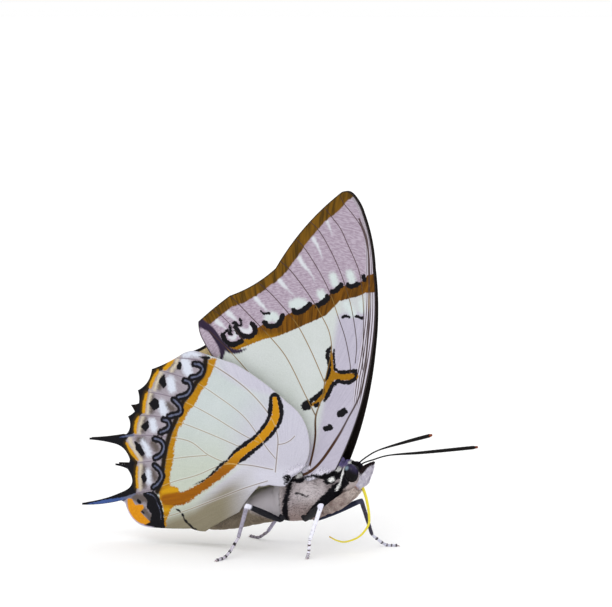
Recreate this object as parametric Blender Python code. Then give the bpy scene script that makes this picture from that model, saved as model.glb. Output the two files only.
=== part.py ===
"""Great nawab butterfly at rest with closed wings, life size, as one fixed model.

X runs forward along the body, Y to the butterfly's left and Z up from the floor. The sizes below are in
millimetres, and MM turns them into metres when a mesh is made.
"""
import math

import bmesh
import bpy
from mathutils import Vector
from mathutils.geometry import delaunay_2d_cdt

MM = 0.001
GAP = 0.3
LEFT, RIGHT = 1, -1
SIDES = (("left", LEFT), ("right", RIGHT))

# Wing surfaces: each wing stands nearly upright and bows out towards its root
HINGE_X, HINGE_Z = 0.0, 14.0
FORE_TIP_Y, FORE_BOW, FORE_REACH, FORE_POWER = 0.55, 3.75, 16.0, 1.6
HIND_TIP_Y, HIND_BOW, HIND_REACH, HIND_POWER = 0.7, 4.6, 26.0, 2.2
WING_THICKNESS = 0.5
VEIN_RISE = 0.12
VEIN_HALF_WIDTH = 0.35
MARGIN_STEP = 2.4
INNER_STEP = 5.2

# Outlines as corners (x, z) with the outward bulge of the edge that leads to the next corner
FORE_OUTLINE = [
    (8.0, 15.6, 0.95),      # foot of the costa
    (14.1, 37.4, 0.45),
    (14.1, 51.4, 0.4),
    (12.1, 61.1, 0.25),
    (10.0, 64.6, 0.3),      # apex
    (8.1, 64.9, 0.9),
    (-4.4, 51.0, -0.5),     # hollow of the outer margin
    (-13.2, 45.8, 0.1),
    (-19.3, 40.9, 0.3),     # hind corner
    (-18.3, 37.4, 0.1),
    (-15.8, 33.8, 0.2),
    (-3.0, 21.0, 0.2),      # inner margin, behind the hindwing
    (1.9, 14.8, 0.2),
    (3.0, 13.5, 0.1),
]
HIND_APEX = (-18.0, 35.4, 0.45)
HIND_TOOTH = (-32.9, 23.1, -0.35)
# The left hindwing is held a little higher and further back, and differs at these two corners
HIND_LEFT_CORNERS = {
    HIND_APEX: (-18.7, 36.6, -0.15),
    HIND_TOOTH: (-33.5, 24.9, -0.6),
}
HIND_OUTLINE = [
    (0.4, 14.3, 1.1),       # foot of the front edge
    (3.6, 20.4, 1.1),
    (-0.8, 27.4, 0.4),
    (-11.5, 33.8, 0.0),
    HIND_APEX,
    (-22.0, 35.05, -0.2),
    (-28.1, 32.0, -0.65),   # first tooth
    (-30.9, 28.0, -1.15),   # second tooth
    HIND_TOOTH,             # third tooth
    (-32.7, 20.5, -0.45),
    (-35.0, 19.45, -0.1),
    (-40.8, 18.75, 0.0),    # upper tail
    (-40.8, 18.4, -0.1),
    (-36.0, 18.0, -0.7),
    (-32.5, 15.2, -0.15),
    (-33.2, 14.2, 0.0),
    (-35.5, 14.3, 0.0),     # short spine between the tails
    (-35.5, 13.95, -0.1),
    (-33.0, 13.45, -1.5),
    (-34.1, 9.15, -0.3),
    (-42.4, 6.55, 0.0),     # lower tail
    (-42.4, 6.2, 0.25),
    (-34.4, 7.5, -0.1),
    (-33.5, 7.0, 1.4),      # round lobe at the hind corner
    (-27.8, 2.95, 0.1),
    (-19.9, 3.4, 0.15),
    (-17.0, 3.1, -0.1),
    (-10.0, 7.2, -0.2),     # inner margin along the abdomen
    (-6.0, 12.2, 0.1),
    (-4.0, 12.6, 0.1),
    (-1.0, 12.5, 0.2),
]
FORE_VEINS = {
    "radius": [(4.6, 15.6), (7.8, 20.2), (10.0, 24.5), (11.8, 28.4), (12.9, 35.3), (13.2, 42.0), (13.2, 49.0),
               (12.8, 56.0), (10.6, 60.4), (8.6, 62.9)],
    "radial_branch": [(12.5, 36.8), (12.2, 44.0), (11.3, 50.6), (9.1, 56.0), (6.3, 60.4)],
    "upper_median": [(11.1, 37.4), (9.9, 44.2), (7.9, 50.6), (5.7, 55.0), (3.0, 58.6)],
    "middle_median": [(10.0, 33.8), (8.3, 41.0), (5.3, 48.3), (2.1, 53.8), (0.7, 55.6)],
    "lower_median": [(6.5, 37.6), (5.0, 41.6), (1.4, 47.4), (-2.6, 51.8)],
    "first_cubital": [(5.0, 31.9), (2.3, 37.0), (-2.0, 43.2), (-6.8, 47.6)],
    "second_cubital": [(3.5, 26.0), (0.0, 31.7), (-5.9, 39.2), (-11.4, 44.4)],
    "anal": [(2.2, 18.0), (-4.0, 26.5), (-11.6, 34.8), (-17.2, 39.4)],
    "cubitus": [(4.1, 16.9), (4.1, 24.6), (5.4, 31.0), (6.4, 36.6)],
    "cell_end": [(7.0, 36.4), (9.5, 34.6)],
}
HIND_VEINS = {
    "costal": [(-2.7, 15.6), (-2.3, 20.6), (-4.1, 25.1), (-8.7, 29.4), (-14.8, 32.9), (-18.8, 34.2), (-23.6, 33.8)],
    "humeral": [(-1.6, 20.1), (0.9, 21.5)],
    "radial": [(-3.2, 18.1), (-5.6, 20.7), (-9.3, 24.7), (-14.6, 27.9), (-20.7, 30.8), (-27.3, 31.8)],
    "upper_median": [(-6.3, 20.0), (-9.2, 21.3), (-15.6, 24.3), (-21.6, 26.5), (-30.0, 28.0)],
    "lower_median": [(-10.1, 19.2), (-14.8, 20.7), (-21.7, 22.4), (-32.0, 23.4)],
    "first_cubital": [(-17.0, 17.8), (-21.2, 19.8), (-30.5, 19.6), (-38.0, 18.7)],
    "second_cubital": [(-17.2, 16.9), (-23.2, 16.2), (-28.6, 15.4), (-33.0, 13.9)],
    "anal": [(-11.6, 15.6), (-19.6, 13.1), (-26.7, 10.0), (-33.4, 8.6), (-39.5, 6.9)],
    "cubitus": [(-3.6, 15.5), (-10.2, 15.9), (-16.0, 17.2)],
    "inner": [(-5.2, 13.2), (-13.7, 10.0), (-18.4, 7.7), (-24.5, 5.1)],
}
# Stubs that carry the wings from the side of the thorax: centre (x, z), half length and half height
FORE_ROOT = (4.6, 15.0, 1.7, 1.2)
HIND_ROOT = (-2.4, 13.9, 2.0, 1.1)
ROOT_INNER_Y = 1.5
ROOT_SIDES = 14

# Body stations along X: (x, lowest z, highest z, half width)
THORAX_STATIONS = [
    (-4.4, 6.9, 12.9, 2.1), (-3.8, 6.1, 14.0, 2.6), (-2.6, 5.6, 15.4, 3.15), (-0.8, 5.6, 16.8, 3.5),
    (1.2, 5.85, 17.6, 3.6), (3.2, 6.2, 18.0, 3.55), (5.0, 7.0, 18.0, 3.2), (6.3, 8.1, 17.8, 2.75),
    (7.3, 9.4, 17.5, 2.3), (8.0, 10.7, 17.1, 1.85),
]
HEAD_STATIONS = [
    (8.3, 11.6, 16.5, 1.6), (8.8, 11.3, 16.7, 1.95), (9.6, 11.3, 16.75, 2.15), (10.4, 11.7, 16.65, 2.15),
    (11.2, 12.2, 16.35, 1.9), (11.8, 12.9, 15.8, 1.4), (12.1, 13.5, 15.3, 0.8),
]
ABDOMEN_STATIONS = [
    (-4.4, 5.4, 12.0, 2.35), (-6.0, 4.95, 11.6, 2.6), (-8.0, 4.5, 10.9, 2.65), (-10.0, 4.0, 10.1, 2.55),
    (-12.0, 3.55, 9.2, 2.35), (-14.0, 3.2, 8.2, 2.05), (-16.0, 3.0, 7.2, 1.7), (-18.0, 3.1, 6.2, 1.25),
    (-19.4, 3.5, 5.5, 0.8), (-20.2, 4.0, 5.0, 0.4),
]
BODY_SIDES = 20
BODY_ROUNDNESS = 2.2
SEGMENT_PITCH = 2.25
SEGMENT_GROOVE = 0.12

EYE_CENTRE = (10.33, 1.75, 14.95)
EYE_RADII = (1.3, 1.05, 1.68)
EYE_LEAN = math.radians(14.0)

# Feelers, mouthparts and legs as centre lines of (x, y, z), y counted outwards from the middle
ANTENNA_RIGHT = [(10.9, 0.85, 16.0), (11.5, 0.95, 16.7), (13.3, 1.9, 18.05), (16.1, 3.3, 19.6), (21.7, 5.8, 21.6),
                 (27.3, 8.0, 23.4)]
ANTENNA_LEFT = [(11.2, 0.85, 16.0), (11.8, 0.95, 16.5), (13.2, 1.6, 17.0), (16.0, 3.0, 17.8), (21.7, 5.0, 18.3),
                (30.8, 8.0, 19.3)]
ANTENNA_SHAFT_RADIUS = 0.25
ANTENNA_CLUB_RADIUS = 0.37
ANTENNA_CLUB_START = 0.66
PALP = [(11.0, 0.86, 12.4), (11.7, 0.86, 13.4), (12.55, 0.86, 14.9), (13.25, 0.84, 15.95), (13.8, 0.82, 16.65)]
PALP_HALF_DEPTHS = [0.72, 1.12, 1.02, 0.7, 0.25]
PALP_HALF_WIDTH = 0.68
PROBOSCIS = [(11.2, 0.0, 13.1), (11.96, 0.0, 12.0), (12.63, 0.0, 10.1), (13.12, 0.0, 7.2), (12.9, 0.0, 5.3),
             (11.2, 0.0, 3.25), (8.7, 0.0, 2.2), (7.0, 0.0, 2.35), (5.6, 0.0, 2.95)]
PROBOSCIS_RADII = (0.33, 0.12)
# A leg's joints: inside the body, below its side, knee, foot of the tibia, bend of the foot and its end
LEGS = {
    "midleg_right": (RIGHT, (1.0, 1.3, 7.6), (1.9, 2.3, 6.2), (6.6, 7.0, 9.8), (4.3, 6.8, 3.3), (4.0, 6.5, 1.0),
                     (4.0, 7.3, 0.2)),
    "midleg_left": (LEFT, (1.0, 1.3, 7.4), (2.4, 2.2, 5.6), (9.6, 6.0, 8.8), (10.8, 8.5, 2.2), (12.9, 9.8, 0.35),
                    (15.0, 10.3, 0.2)),
    "hindleg_right": (RIGHT, (-2.2, 1.3, 7.2), (-3.0, 2.3, 5.8), (-7.7, 6.5, 8.8), (-8.5, 8.8, 3.3),
                      (-9.5, 11.8, 0.6), (-10.2, 15.0, 0.2)),
    "hindleg_left": (LEFT, (-2.2, 1.3, 7.2), (-3.0, 2.3, 5.6), (-5.1, 8.0, 7.7), (-9.4, 8.4, 1.6),
                     (-11.5, 9.3, 0.3), (-13.6, 10.6, 0.2)),
}
COXA_RADIUS = 0.62
FEMUR_RADIUS = 0.52
TIBIA_RADIUS = 0.38
TARSUS_RADIUS = 0.28
TARSUS_JOINTS = 5
CLAW_LENGTH, CLAW_RADIUS, CLAW_SPREAD = 0.6, 0.12, 0.2
FORELEG = [(4.9, 1.35, 8.0), (6.6, 1.75, 8.6), (8.2, 1.85, 9.7), (9.8, 1.7, 10.9), (11.0, 1.3, 11.9)]
FORELEG_RADII = [0.8, 1.0, 0.95, 0.8, 0.4]
TUBE_SIDES = 8

COLOURS = {
    "forewing": ((0.62, 0.58, 0.60, 1.0), 0.75),
    "hindwing": ((0.68, 0.72, 0.68, 1.0), 0.75),
    "thorax": ((0.55, 0.52, 0.55, 1.0), 0.85),
    "abdomen": ((0.38, 0.33, 0.27, 1.0), 0.85),
    "head": ((0.10, 0.09, 0.12, 1.0), 0.8),
    "eye": ((0.03, 0.02, 0.05, 1.0), 0.2),
    "palp": ((0.72, 0.68, 0.76, 1.0), 0.8),
    "proboscis": ((0.72, 0.60, 0.03, 1.0), 0.4),
    "antenna": ((0.02, 0.02, 0.02, 1.0), 0.5),
    "foreleg": ((0.70, 0.60, 0.52, 1.0), 0.85),
    "midleg": ((0.60, 0.58, 0.68, 1.0), 0.7),
    "hindleg": ((0.32, 0.30, 0.33, 1.0), 0.7),
}


def clear_scene():
    """Empties the scene."""
    for old in list(bpy.context.scene.objects):
        bpy.data.objects.remove(old, do_unlink=True)


def material_for(name):
    """The Principled material of a kind of part, made once."""
    kind = name.split("_")[0]
    if kind in bpy.data.materials:
        return bpy.data.materials[kind]
    colour, roughness = COLOURS[kind]
    material = bpy.data.materials.new(kind)
    material.use_nodes = True
    shader = material.node_tree.nodes["Principled BSDF"]
    shader.inputs["Base Color"].default_value = colour
    shader.inputs["Roughness"].default_value = roughness
    shader.inputs["Metallic"].default_value = 0.0
    return material


def new_object(name, points, faces):
    """A closed mesh object from points in millimetres, with its faces turned outwards."""
    mesh = bpy.data.meshes.new(name)
    mesh.from_pydata([tuple(c * MM for c in p) for p in points], [], faces)
    work = bmesh.new()
    work.from_mesh(mesh)
    bmesh.ops.recalc_face_normals(work, faces=work.faces)
    work.to_mesh(mesh)
    work.free()
    piece = bpy.data.objects.new(name, mesh)
    bpy.context.scene.collection.objects.link(piece)
    return piece


def apply_modifiers(piece):
    """Replaces the mesh by its evaluated shape."""
    evaluated = piece.evaluated_get(bpy.context.evaluated_depsgraph_get())
    mesh = bpy.data.meshes.new_from_object(evaluated)
    piece.modifiers.clear()
    old = piece.data
    piece.data = mesh
    bpy.data.meshes.remove(old)


def keep_largest(piece):
    """Keeps the closed surface with the most faces and triangulates it."""
    work = bmesh.new()
    work.from_mesh(piece.data)
    bmesh.ops.remove_doubles(work, verts=work.verts, dist=0.000002)
    bmesh.ops.triangulate(work, faces=work.faces)
    work.faces.ensure_lookup_table()
    left = set(work.faces)
    islands = []
    while left:
        seed = left.pop()
        island, edge_queue = {seed}, [seed]
        while edge_queue:
            for edge in edge_queue.pop().edges:
                for face in edge.link_faces:
                    if face in left:
                        left.remove(face)
                        island.add(face)
                        edge_queue.append(face)
        islands.append(island)
    islands.sort(key=lambda faces: sum(f.calc_area() for f in faces))
    for island in islands[:-1]:
        bmesh.ops.delete(work, geom=list(island), context="FACES")
    loose = [v for v in work.verts if not v.link_faces]
    bmesh.ops.delete(work, geom=loose, context="VERTS")
    work.to_mesh(piece.data)
    work.free()


def boolean(piece, others, operation):
    """Joins or cuts a piece with other closed meshes, which are removed afterwards."""
    group = bpy.data.collections.new("tools")
    for other in others:
        other.hide_render = True
        other.display_type = "WIRE"
        group.objects.link(other)
    step = piece.modifiers.new("boolean", "BOOLEAN")
    step.operation = operation
    step.operand_type = "COLLECTION"
    step.collection = group
    step.solver = "EXACT"
    apply_modifiers(piece)
    for other in others:
        bpy.data.objects.remove(other, do_unlink=True)
    bpy.data.collections.remove(group)
    keep_largest(piece)


def grown_copy(piece, distance):
    """A copy of a rounded piece, pushed out along its normals by a distance in millimetres."""
    copy = piece.copy()
    copy.data = piece.data.copy()
    bpy.context.scene.collection.objects.link(copy)
    for vertex, normal in zip(copy.data.vertices, [v.normal.copy() for v in piece.data.vertices]):
        vertex.co += normal * distance * MM
    return copy


def cut_clear(piece, *neighbours):
    """Cuts a piece back so that it keeps the standing gap to its neighbours."""
    boolean(piece, [grown_copy(other, GAP) for other in neighbours], "DIFFERENCE")


def cut_at_floor(piece):
    """Cuts off what lies below the floor, which leaves small flats under the feet."""
    low, high = -40.0, 40.0
    corners = [(x, y, z) for x in (low, high) for y in (low, high) for z in (-5.0, 0.0)]
    faces = [(0, 1, 3, 2), (4, 6, 7, 5), (0, 4, 5, 1), (2, 3, 7, 6), (0, 2, 6, 4), (1, 5, 7, 3)]
    boolean(piece, [new_object("below_floor", corners, faces)], "DIFFERENCE")


def finish(piece):
    """Gives a piece its material and smooth shading."""
    piece.data.materials.clear()
    piece.data.materials.append(material_for(piece.name))
    piece.data.shade_smooth()
    piece.data.set_sharp_from_angle(angle=math.radians(40.0))
    return piece


def stack_rings(name, rings):
    """A closed body from rings of equal count, with a fan over each end."""
    count = len(rings[0])
    points = [p for ring in rings for p in ring]
    faces = []
    for k in range(len(rings) - 1):
        for i in range(count):
            j = (i + 1) % count
            faces.append((k * count + i, k * count + j, (k + 1) * count + j, (k + 1) * count + i))
    for ring, base in ((rings[0], 0), (rings[-1], (len(rings) - 1) * count)):
        centre = [sum(p[c] for p in ring) / count for c in range(3)]
        points.append(tuple(centre))
        faces += [(base + i, base + (i + 1) % count, len(points) - 1) for i in range(count)]
    return new_object(name, points, faces)


def spline(points, steps):
    """Points along a smooth curve through the given ones, with equal steps in each span."""
    result = []
    for k in range(len(points) - 1):
        before = points[max(k - 1, 0)]
        start, end = points[k], points[k + 1]
        after = points[min(k + 2, len(points) - 1)]
        for i in range(steps):
            t = i / steps
            result.append(tuple(
                0.5 * (2 * b + (c - a) * t + (2 * a - 5 * b + 4 * c - d) * t * t + (3 * b - a - 3 * c + d) * t ** 3)
                for a, b, c, d in zip(before, start, end, after)))
    result.append(tuple(points[-1]))
    return result


def swept_rings(path, half_widths, half_depths, sides, across=Vector((0.0, 1.0, 0.0))):
    """Elliptic rings set square to a path; widths run along the across direction, depths square to it."""
    rings = []
    for k, point in enumerate(path):
        here = Vector(point)
        ahead = Vector(path[min(k + 1, len(path) - 1)]) - Vector(path[max(k - 1, 0)])
        ahead.normalize()
        side = (across - ahead * across.dot(ahead)).normalized()
        up = ahead.cross(side)
        rings.append([tuple(here + side * half_widths[k] * math.cos(a) + up * half_depths[k] * math.sin(a))
                      for a in (2.0 * math.pi * i / sides for i in range(sides))])
    return rings


def blend_along(values, count):
    """Values spread evenly over a count of stations, with straight runs between them."""
    result = []
    for i in range(count):
        position = i * (len(values) - 1) / (count - 1)
        k = min(int(position), len(values) - 2)
        result.append(values[k] + (values[k + 1] - values[k]) * (position - k))
    return result


def mirrored(points, side):
    """The same points on one side of the body."""
    return [(x, y * side, z) for x, y, z in points]


# Wings


def fore_y(x, z):
    """Distance of the forewing's middle surface from the body's middle plane."""
    reach = math.hypot(x - HINGE_X, z - HINGE_Z) / FORE_REACH
    return FORE_TIP_Y + FORE_BOW * math.exp(-(reach ** FORE_POWER))


def hind_y(x, z):
    """Distance of the hindwing's middle surface from the body's middle plane."""
    reach = math.hypot(x - HINGE_X, z - HINGE_Z) / HIND_REACH
    return HIND_TIP_Y + HIND_BOW * math.exp(-(reach ** HIND_POWER))


def outline_points(corners):
    """Points round a wing, with each edge drawn as a flat arc."""
    points = []
    for (x, z, bulge), (next_x, next_z, _) in zip(corners, corners[1:] + corners[:1]):
        along_x, along_z = next_x - x, next_z - z
        chord = math.hypot(along_x, along_z)
        pieces = max(2 if abs(bulge) >= 0.25 else 1, round(chord / MARGIN_STEP))
        for i in range(pieces):
            t = i / pieces
            out = 4.0 * bulge * t * (1.0 - t) / chord
            points.append((x + along_x * t + along_z * out, z + along_z * t - along_x * out))
    return points


def inside(point, polygon):
    """Whether a point lies inside a polygon."""
    x, z = point
    crossings = 0
    for (ax, az), (bx, bz) in zip(polygon, polygon[1:] + polygon[:1]):
        if (az > z) != (bz > z) and x < ax + (z - az) * (bx - ax) / (bz - az):
            crossings += 1
    return crossings % 2 == 1


def distance_to_line(point, line):
    """Distance from a point to an open line of points."""
    best = math.inf
    here = Vector(point)
    for start, end in zip(line, line[1:]):
        a, b = Vector(start), Vector(end)
        run = b - a
        t = min(1.0, max(0.0, (here - a).dot(run) / run.length_squared))
        best = min(best, (here - a - run * t).length)
    return best


def offset_line(line, distance):
    """A line moved sideways by a distance."""
    result = []
    for k, point in enumerate(line):
        run = Vector(line[min(k + 1, len(line) - 1)]) - Vector(line[max(k - 1, 0)])
        normal = Vector((-run.y, run.x)).normalized()
        result.append(tuple(Vector(point) + normal * distance))
    return result


def wing_plan(outline, veins):
    """Triangles of a wing in side view, with the veins and their flanks as edges."""
    points = [Vector(p) for p in outline]
    edges = [(i, (i + 1) % len(outline)) for i in range(len(outline))]
    for line in veins.values():
        for shift in (-VEIN_HALF_WIDTH, 0.0, VEIN_HALF_WIDTH):
            first = len(points)
            row = line if shift == 0.0 else offset_line(line, shift)
            points += [Vector(p) for p in row]
            edges += [(first + i, first + i + 1) for i in range(len(row) - 1)]
    closed = outline + outline[:1]
    low_x, high_x = min(p[0] for p in outline), max(p[0] for p in outline)
    low_z, high_z = min(p[1] for p in outline), max(p[1] for p in outline)
    for row in range(int((high_z - low_z) / INNER_STEP) + 1):
        for column in range(int((high_x - low_x) / INNER_STEP) + 1):
            spot = (low_x + (column + 0.5 * (row % 2)) * INNER_STEP, low_z + (row + 0.5) * INNER_STEP)
            far = all(distance_to_line(spot, line) > 0.35 * INNER_STEP for line in [closed, *veins.values()])
            if far and inside(spot, outline):
                points.append(Vector(spot))
    spots, _, triangles, *_ = delaunay_2d_cdt(points, edges, [], 0, 0.02)
    spots = [tuple(p) for p in spots]
    triangles = [t for t in triangles if inside([sum(spots[i][c] for i in t) / 3.0 for c in (0, 1)], outline)]
    return spots, triangles


def wing_plate(name, side, outline, veins, surface):
    """A thin plate over the wing's plan, with the veins raised on both faces."""
    spots, triangles = wing_plan(outline, veins)
    used = sorted({i for t in triangles for i in t})
    renumber = {old: new for new, old in enumerate(used)}
    outer, inner = [], []
    for i in used:
        x, z = spots[i]
        nearest = min(distance_to_line((x, z), line) for line in veins.values())
        rise = VEIN_RISE * max(0.0, 1.0 - nearest / (0.9 * VEIN_HALF_WIDTH))
        half = 0.5 * WING_THICKNESS + rise
        outer.append((x, side * (surface(x, z) + half), z))
        inner.append((x, side * (surface(x, z) - half), z))
    count = len(used)
    triangles = [tuple(renumber[i] for i in t) for t in triangles]
    faces = triangles + [(c + count, b + count, a + count) for a, b, c in triangles]
    border = {}
    for a, b, c in triangles:
        for edge in ((a, b), (b, c), (c, a)):
            if edge[::-1] in border:
                del border[edge[::-1]]
            else:
                border[edge] = True
    for a, b in border:
        faces += [(b, a, a + count), (b, a + count, b + count)]
    return new_object(name, outer + inner, faces)


def wing_root(name, side, root, outer_y):
    """A short stub that leads from inside the thorax to a wing plate."""
    x, z, half_length, half_height = root
    rings = []
    for y, scale in ((ROOT_INNER_Y, 0.9), (0.5 * (ROOT_INNER_Y + outer_y), 0.92), (outer_y, 1.0)):
        rings.append([(x + half_length * scale * math.cos(a), side * y, z + half_height * scale * math.sin(a))
                      for a in (2.0 * math.pi * i / ROOT_SIDES for i in range(ROOT_SIDES))])
    return stack_rings(name, rings)


def make_wing(kind, side_name, side, corners, veins, surface, root, thorax):
    """One wing: its plate, joined to its root stub and cut clear of the thorax."""
    plate = wing_plate(f"{kind}_{side_name}", side, outline_points(corners), veins, surface)
    outer_y = surface(root[0], root[1]) + 0.1 * WING_THICKNESS
    boolean(plate, [wing_root("root", side, root, outer_y)], "UNION")
    cut_clear(plate, thorax)
    return finish(plate)


# Body


def body_rings(stations, step_shape=None):
    """Rounded rings from stations along the body; step_shape swells or narrows each by its place."""
    rings = []
    for x, low, high, half_width in stations:
        scale = 1.0 if step_shape is None else step_shape(x)
        middle, half_height = 0.5 * (low + high), 0.5 * (high - low) * scale
        ring = []
        for i in range(BODY_SIDES):
            angle = 2.0 * math.pi * i / BODY_SIDES
            c, s = math.cos(angle), math.sin(angle)
            power = 2.0 / BODY_ROUNDNESS
            ring.append((x, half_width * scale * math.copysign(abs(c) ** power, c),
                         middle + half_height * math.copysign(abs(s) ** power, s)))
        rings.append(ring)
    return rings


def segment_shape(x):
    """The abdomen's rings: each segment swells a little behind its groove."""
    phase = (-x / SEGMENT_PITCH) % 1.0
    return 1.0 + SEGMENT_GROOVE * (math.sin(math.pi * phase) ** 0.5 - 1.0) * 0.35


def make_thorax():
    """The thorax, deep and rounded."""
    stations = spline(THORAX_STATIONS, 2)
    return finish(stack_rings("thorax", body_rings(stations)))


def make_abdomen(thorax):
    """The abdomen, which hangs back from the thorax between the hindwings."""
    stations = spline(ABDOMEN_STATIONS, 3)
    abdomen = stack_rings("abdomen", body_rings(stations, segment_shape))
    cut_clear(abdomen, thorax)
    return finish(abdomen)


def make_eye(name, side):
    """One domed eye, leaning back a little."""
    x, y, z = EYE_CENTRE
    work = bmesh.new()
    bmesh.ops.create_uvsphere(work, u_segments=20, v_segments=12, radius=1.0)
    points, lean = [], EYE_LEAN
    for vertex in work.verts:
        a, b, c = (vertex.co[i] * EYE_RADII[i] for i in range(3))
        points.append((x + a * math.cos(lean) - c * math.sin(lean), side * y + b,
                       z + a * math.sin(lean) + c * math.cos(lean)))
    faces = [tuple(v.index for v in face.verts) for face in work.faces]
    work.free()
    return finish(new_object(name, points, faces))


def make_head(eyes, thorax):
    """The head, hollowed for the eyes and cut clear of the thorax."""
    head = stack_rings("head", body_rings(spline(HEAD_STATIONS, 2)))
    cut_clear(head, *eyes)
    cut_clear(head, thorax)
    return finish(head)


def make_palp(name, side, head, eyes):
    """One palp, a broad flat blade that rises in front of the face."""
    path = spline(mirrored(PALP, side), 3)
    depths = blend_along(PALP_HALF_DEPTHS, len(path))
    widths = [min(PALP_HALF_WIDTH, 0.25 + depth * 0.55) for depth in depths]
    palp = stack_rings(name, swept_rings(path, widths, depths, 10))
    cut_clear(palp, head, *eyes)
    return finish(palp)


def make_antenna(name, side, line, head):
    """One antenna: a thin shaft that swells into a long club."""
    path = spline(mirrored(line, side), 5)
    radii = []
    for i in range(len(path)):
        t = i / (len(path) - 1)
        swell = max(0.0, (t - ANTENNA_CLUB_START) / (1.0 - ANTENNA_CLUB_START))
        radius = ANTENNA_SHAFT_RADIUS + (ANTENNA_CLUB_RADIUS - ANTENNA_SHAFT_RADIUS) * math.sin(1.9 * swell)
        radii.append(radius if i < len(path) - 1 else 0.6 * radius)
    antenna = stack_rings(name, swept_rings(path, radii, radii, TUBE_SIDES, Vector((0.0, 0.0, 1.0))))
    cut_clear(antenna, head)
    return finish(antenna)


def make_proboscis(head, palps):
    """The proboscis, half uncoiled under the head."""
    path = spline(PROBOSCIS, 4)
    radii = blend_along(PROBOSCIS_RADII, len(path))
    proboscis = stack_rings("proboscis", swept_rings(path, radii, radii, TUBE_SIDES))
    cut_clear(proboscis, head, *palps)
    return finish(proboscis)


def leg_stations(hip, trochanter, knee, ankle, heel, toe):
    """Centre line and radii of a leg: coxa, femur, tibia and a beaded tarsus that lies on the floor."""
    path, radii = [], []

    def add_run(start, end, profile):
        for k, radius in enumerate(profile):
            t = k / len(profile)
            path.append(tuple(a + (b - a) * t for a, b in zip(start, end)))
            radii.append(radius)

    add_run(hip, trochanter, [COXA_RADIUS, COXA_RADIUS])
    add_run(trochanter, knee, [FEMUR_RADIUS * s for s in (0.95, 1.05, 1.12, 1.1, 1.0, 0.85)])
    add_run(knee, ankle, [TIBIA_RADIUS * s for s in (1.15, 0.95, 0.92, 0.95, 1.05)])
    tarsus = spline([ankle, heel, toe], TARSUS_JOINTS)
    for k, point in enumerate(tarsus):
        path.append(point)
        radii.append(TARSUS_RADIUS * (1.08 if k % 2 else 0.92))
    radii[-1] = 0.75 * TARSUS_RADIUS
    return path, radii


def make_claws(heel, toe):
    """The two claws at a foot's end, as thin cones."""
    ahead = (Vector(toe) - Vector(heel)).normalized()
    across = ahead.cross(Vector((0.0, 0.0, 1.0))).normalized()
    claws = []
    for turn in (-1.0, 1.0):
        start = Vector(toe) - ahead * 0.3 + across * turn * 0.08
        end = Vector(toe) + ahead * CLAW_LENGTH + across * turn * CLAW_SPREAD - Vector((0.0, 0.0, 0.08))
        rings = swept_rings([start, end], [CLAW_RADIUS, 0.05], [CLAW_RADIUS, 0.05], 5, across)
        claws.append(stack_rings("claw", rings))
    return claws


def make_leg(name, side, joints, neighbours):
    """One walking leg, cut clear of the body and flat where it stands."""
    joints = mirrored(joints, side)
    path, radii = leg_stations(*joints)
    across = (Vector(joints[2]) - Vector(joints[1])).cross(Vector(joints[3]) - Vector(joints[2])).normalized()
    leg = stack_rings(name, swept_rings(path, radii, radii, TUBE_SIDES, across))
    boolean(leg, make_claws(joints[4], joints[5]), "UNION")
    cut_clear(leg, *neighbours)
    cut_at_floor(leg)
    return finish(leg)


def make_foreleg(name, side, neighbours):
    """One small foreleg, folded up under the head."""
    path = spline(mirrored(FORELEG, side), 3)
    radii = blend_along(FORELEG_RADII, len(path))
    foreleg = stack_rings(name, swept_rings(path, radii, radii, 10))
    cut_clear(foreleg, *neighbours)
    return finish(foreleg)


def centre_on_floor():
    """Moves the whole butterfly so that the middle of its box's underside is the origin."""
    pieces = [o for o in bpy.context.scene.objects if o.type == "MESH"]
    for axis in range(3):
        values = [v.co[axis] for piece in pieces for v in piece.data.vertices]
        shift = min(values) if axis == 2 else 0.5 * (min(values) + max(values))
        for piece in pieces:
            for vertex in piece.data.vertices:
                vertex.co[axis] -= shift


def main():
    """Builds the butterfly, each part after those that it grows from."""
    clear_scene()
    thorax = make_thorax()
    abdomen = make_abdomen(thorax)
    eyes = [make_eye(f"eye_{name}", side) for name, side in SIDES]
    head = make_head(eyes, thorax)
    palps = [make_palp(f"palp_{name}", side, head, eyes) for name, side in SIDES]
    make_proboscis(head, palps)
    for (name, side), line in zip(SIDES, (ANTENNA_LEFT, ANTENNA_RIGHT)):
        make_antenna(f"antenna_{name}", side, line, head)
        make_foreleg(f"foreleg_{name}", side, [thorax, head, palps[0 if side == LEFT else 1]])
        make_wing("forewing", name, side, FORE_OUTLINE, FORE_VEINS, fore_y, FORE_ROOT, thorax)
        corners = [HIND_LEFT_CORNERS.get(corner, corner) if side == LEFT else corner for corner in HIND_OUTLINE]
        make_wing("hindwing", name, side, corners, HIND_VEINS, hind_y, HIND_ROOT, thorax)
    for name, (side, *joints) in LEGS.items():
        make_leg(name, side, joints, [thorax, abdomen])
    centre_on_floor()


main()
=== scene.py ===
"""The looks of the great nawab butterfly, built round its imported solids.

Wing shapes and markings are drawn in side view, as (x, z) in millimetres on the axes of the solids'
source: x runs forward from the wing hinge, z up from the floor. A wing's surface gives each point its y.
"""
import math

import bmesh
import bpy
import numpy as np
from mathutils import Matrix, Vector
from mathutils.geometry import delaunay_2d_cdt


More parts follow.
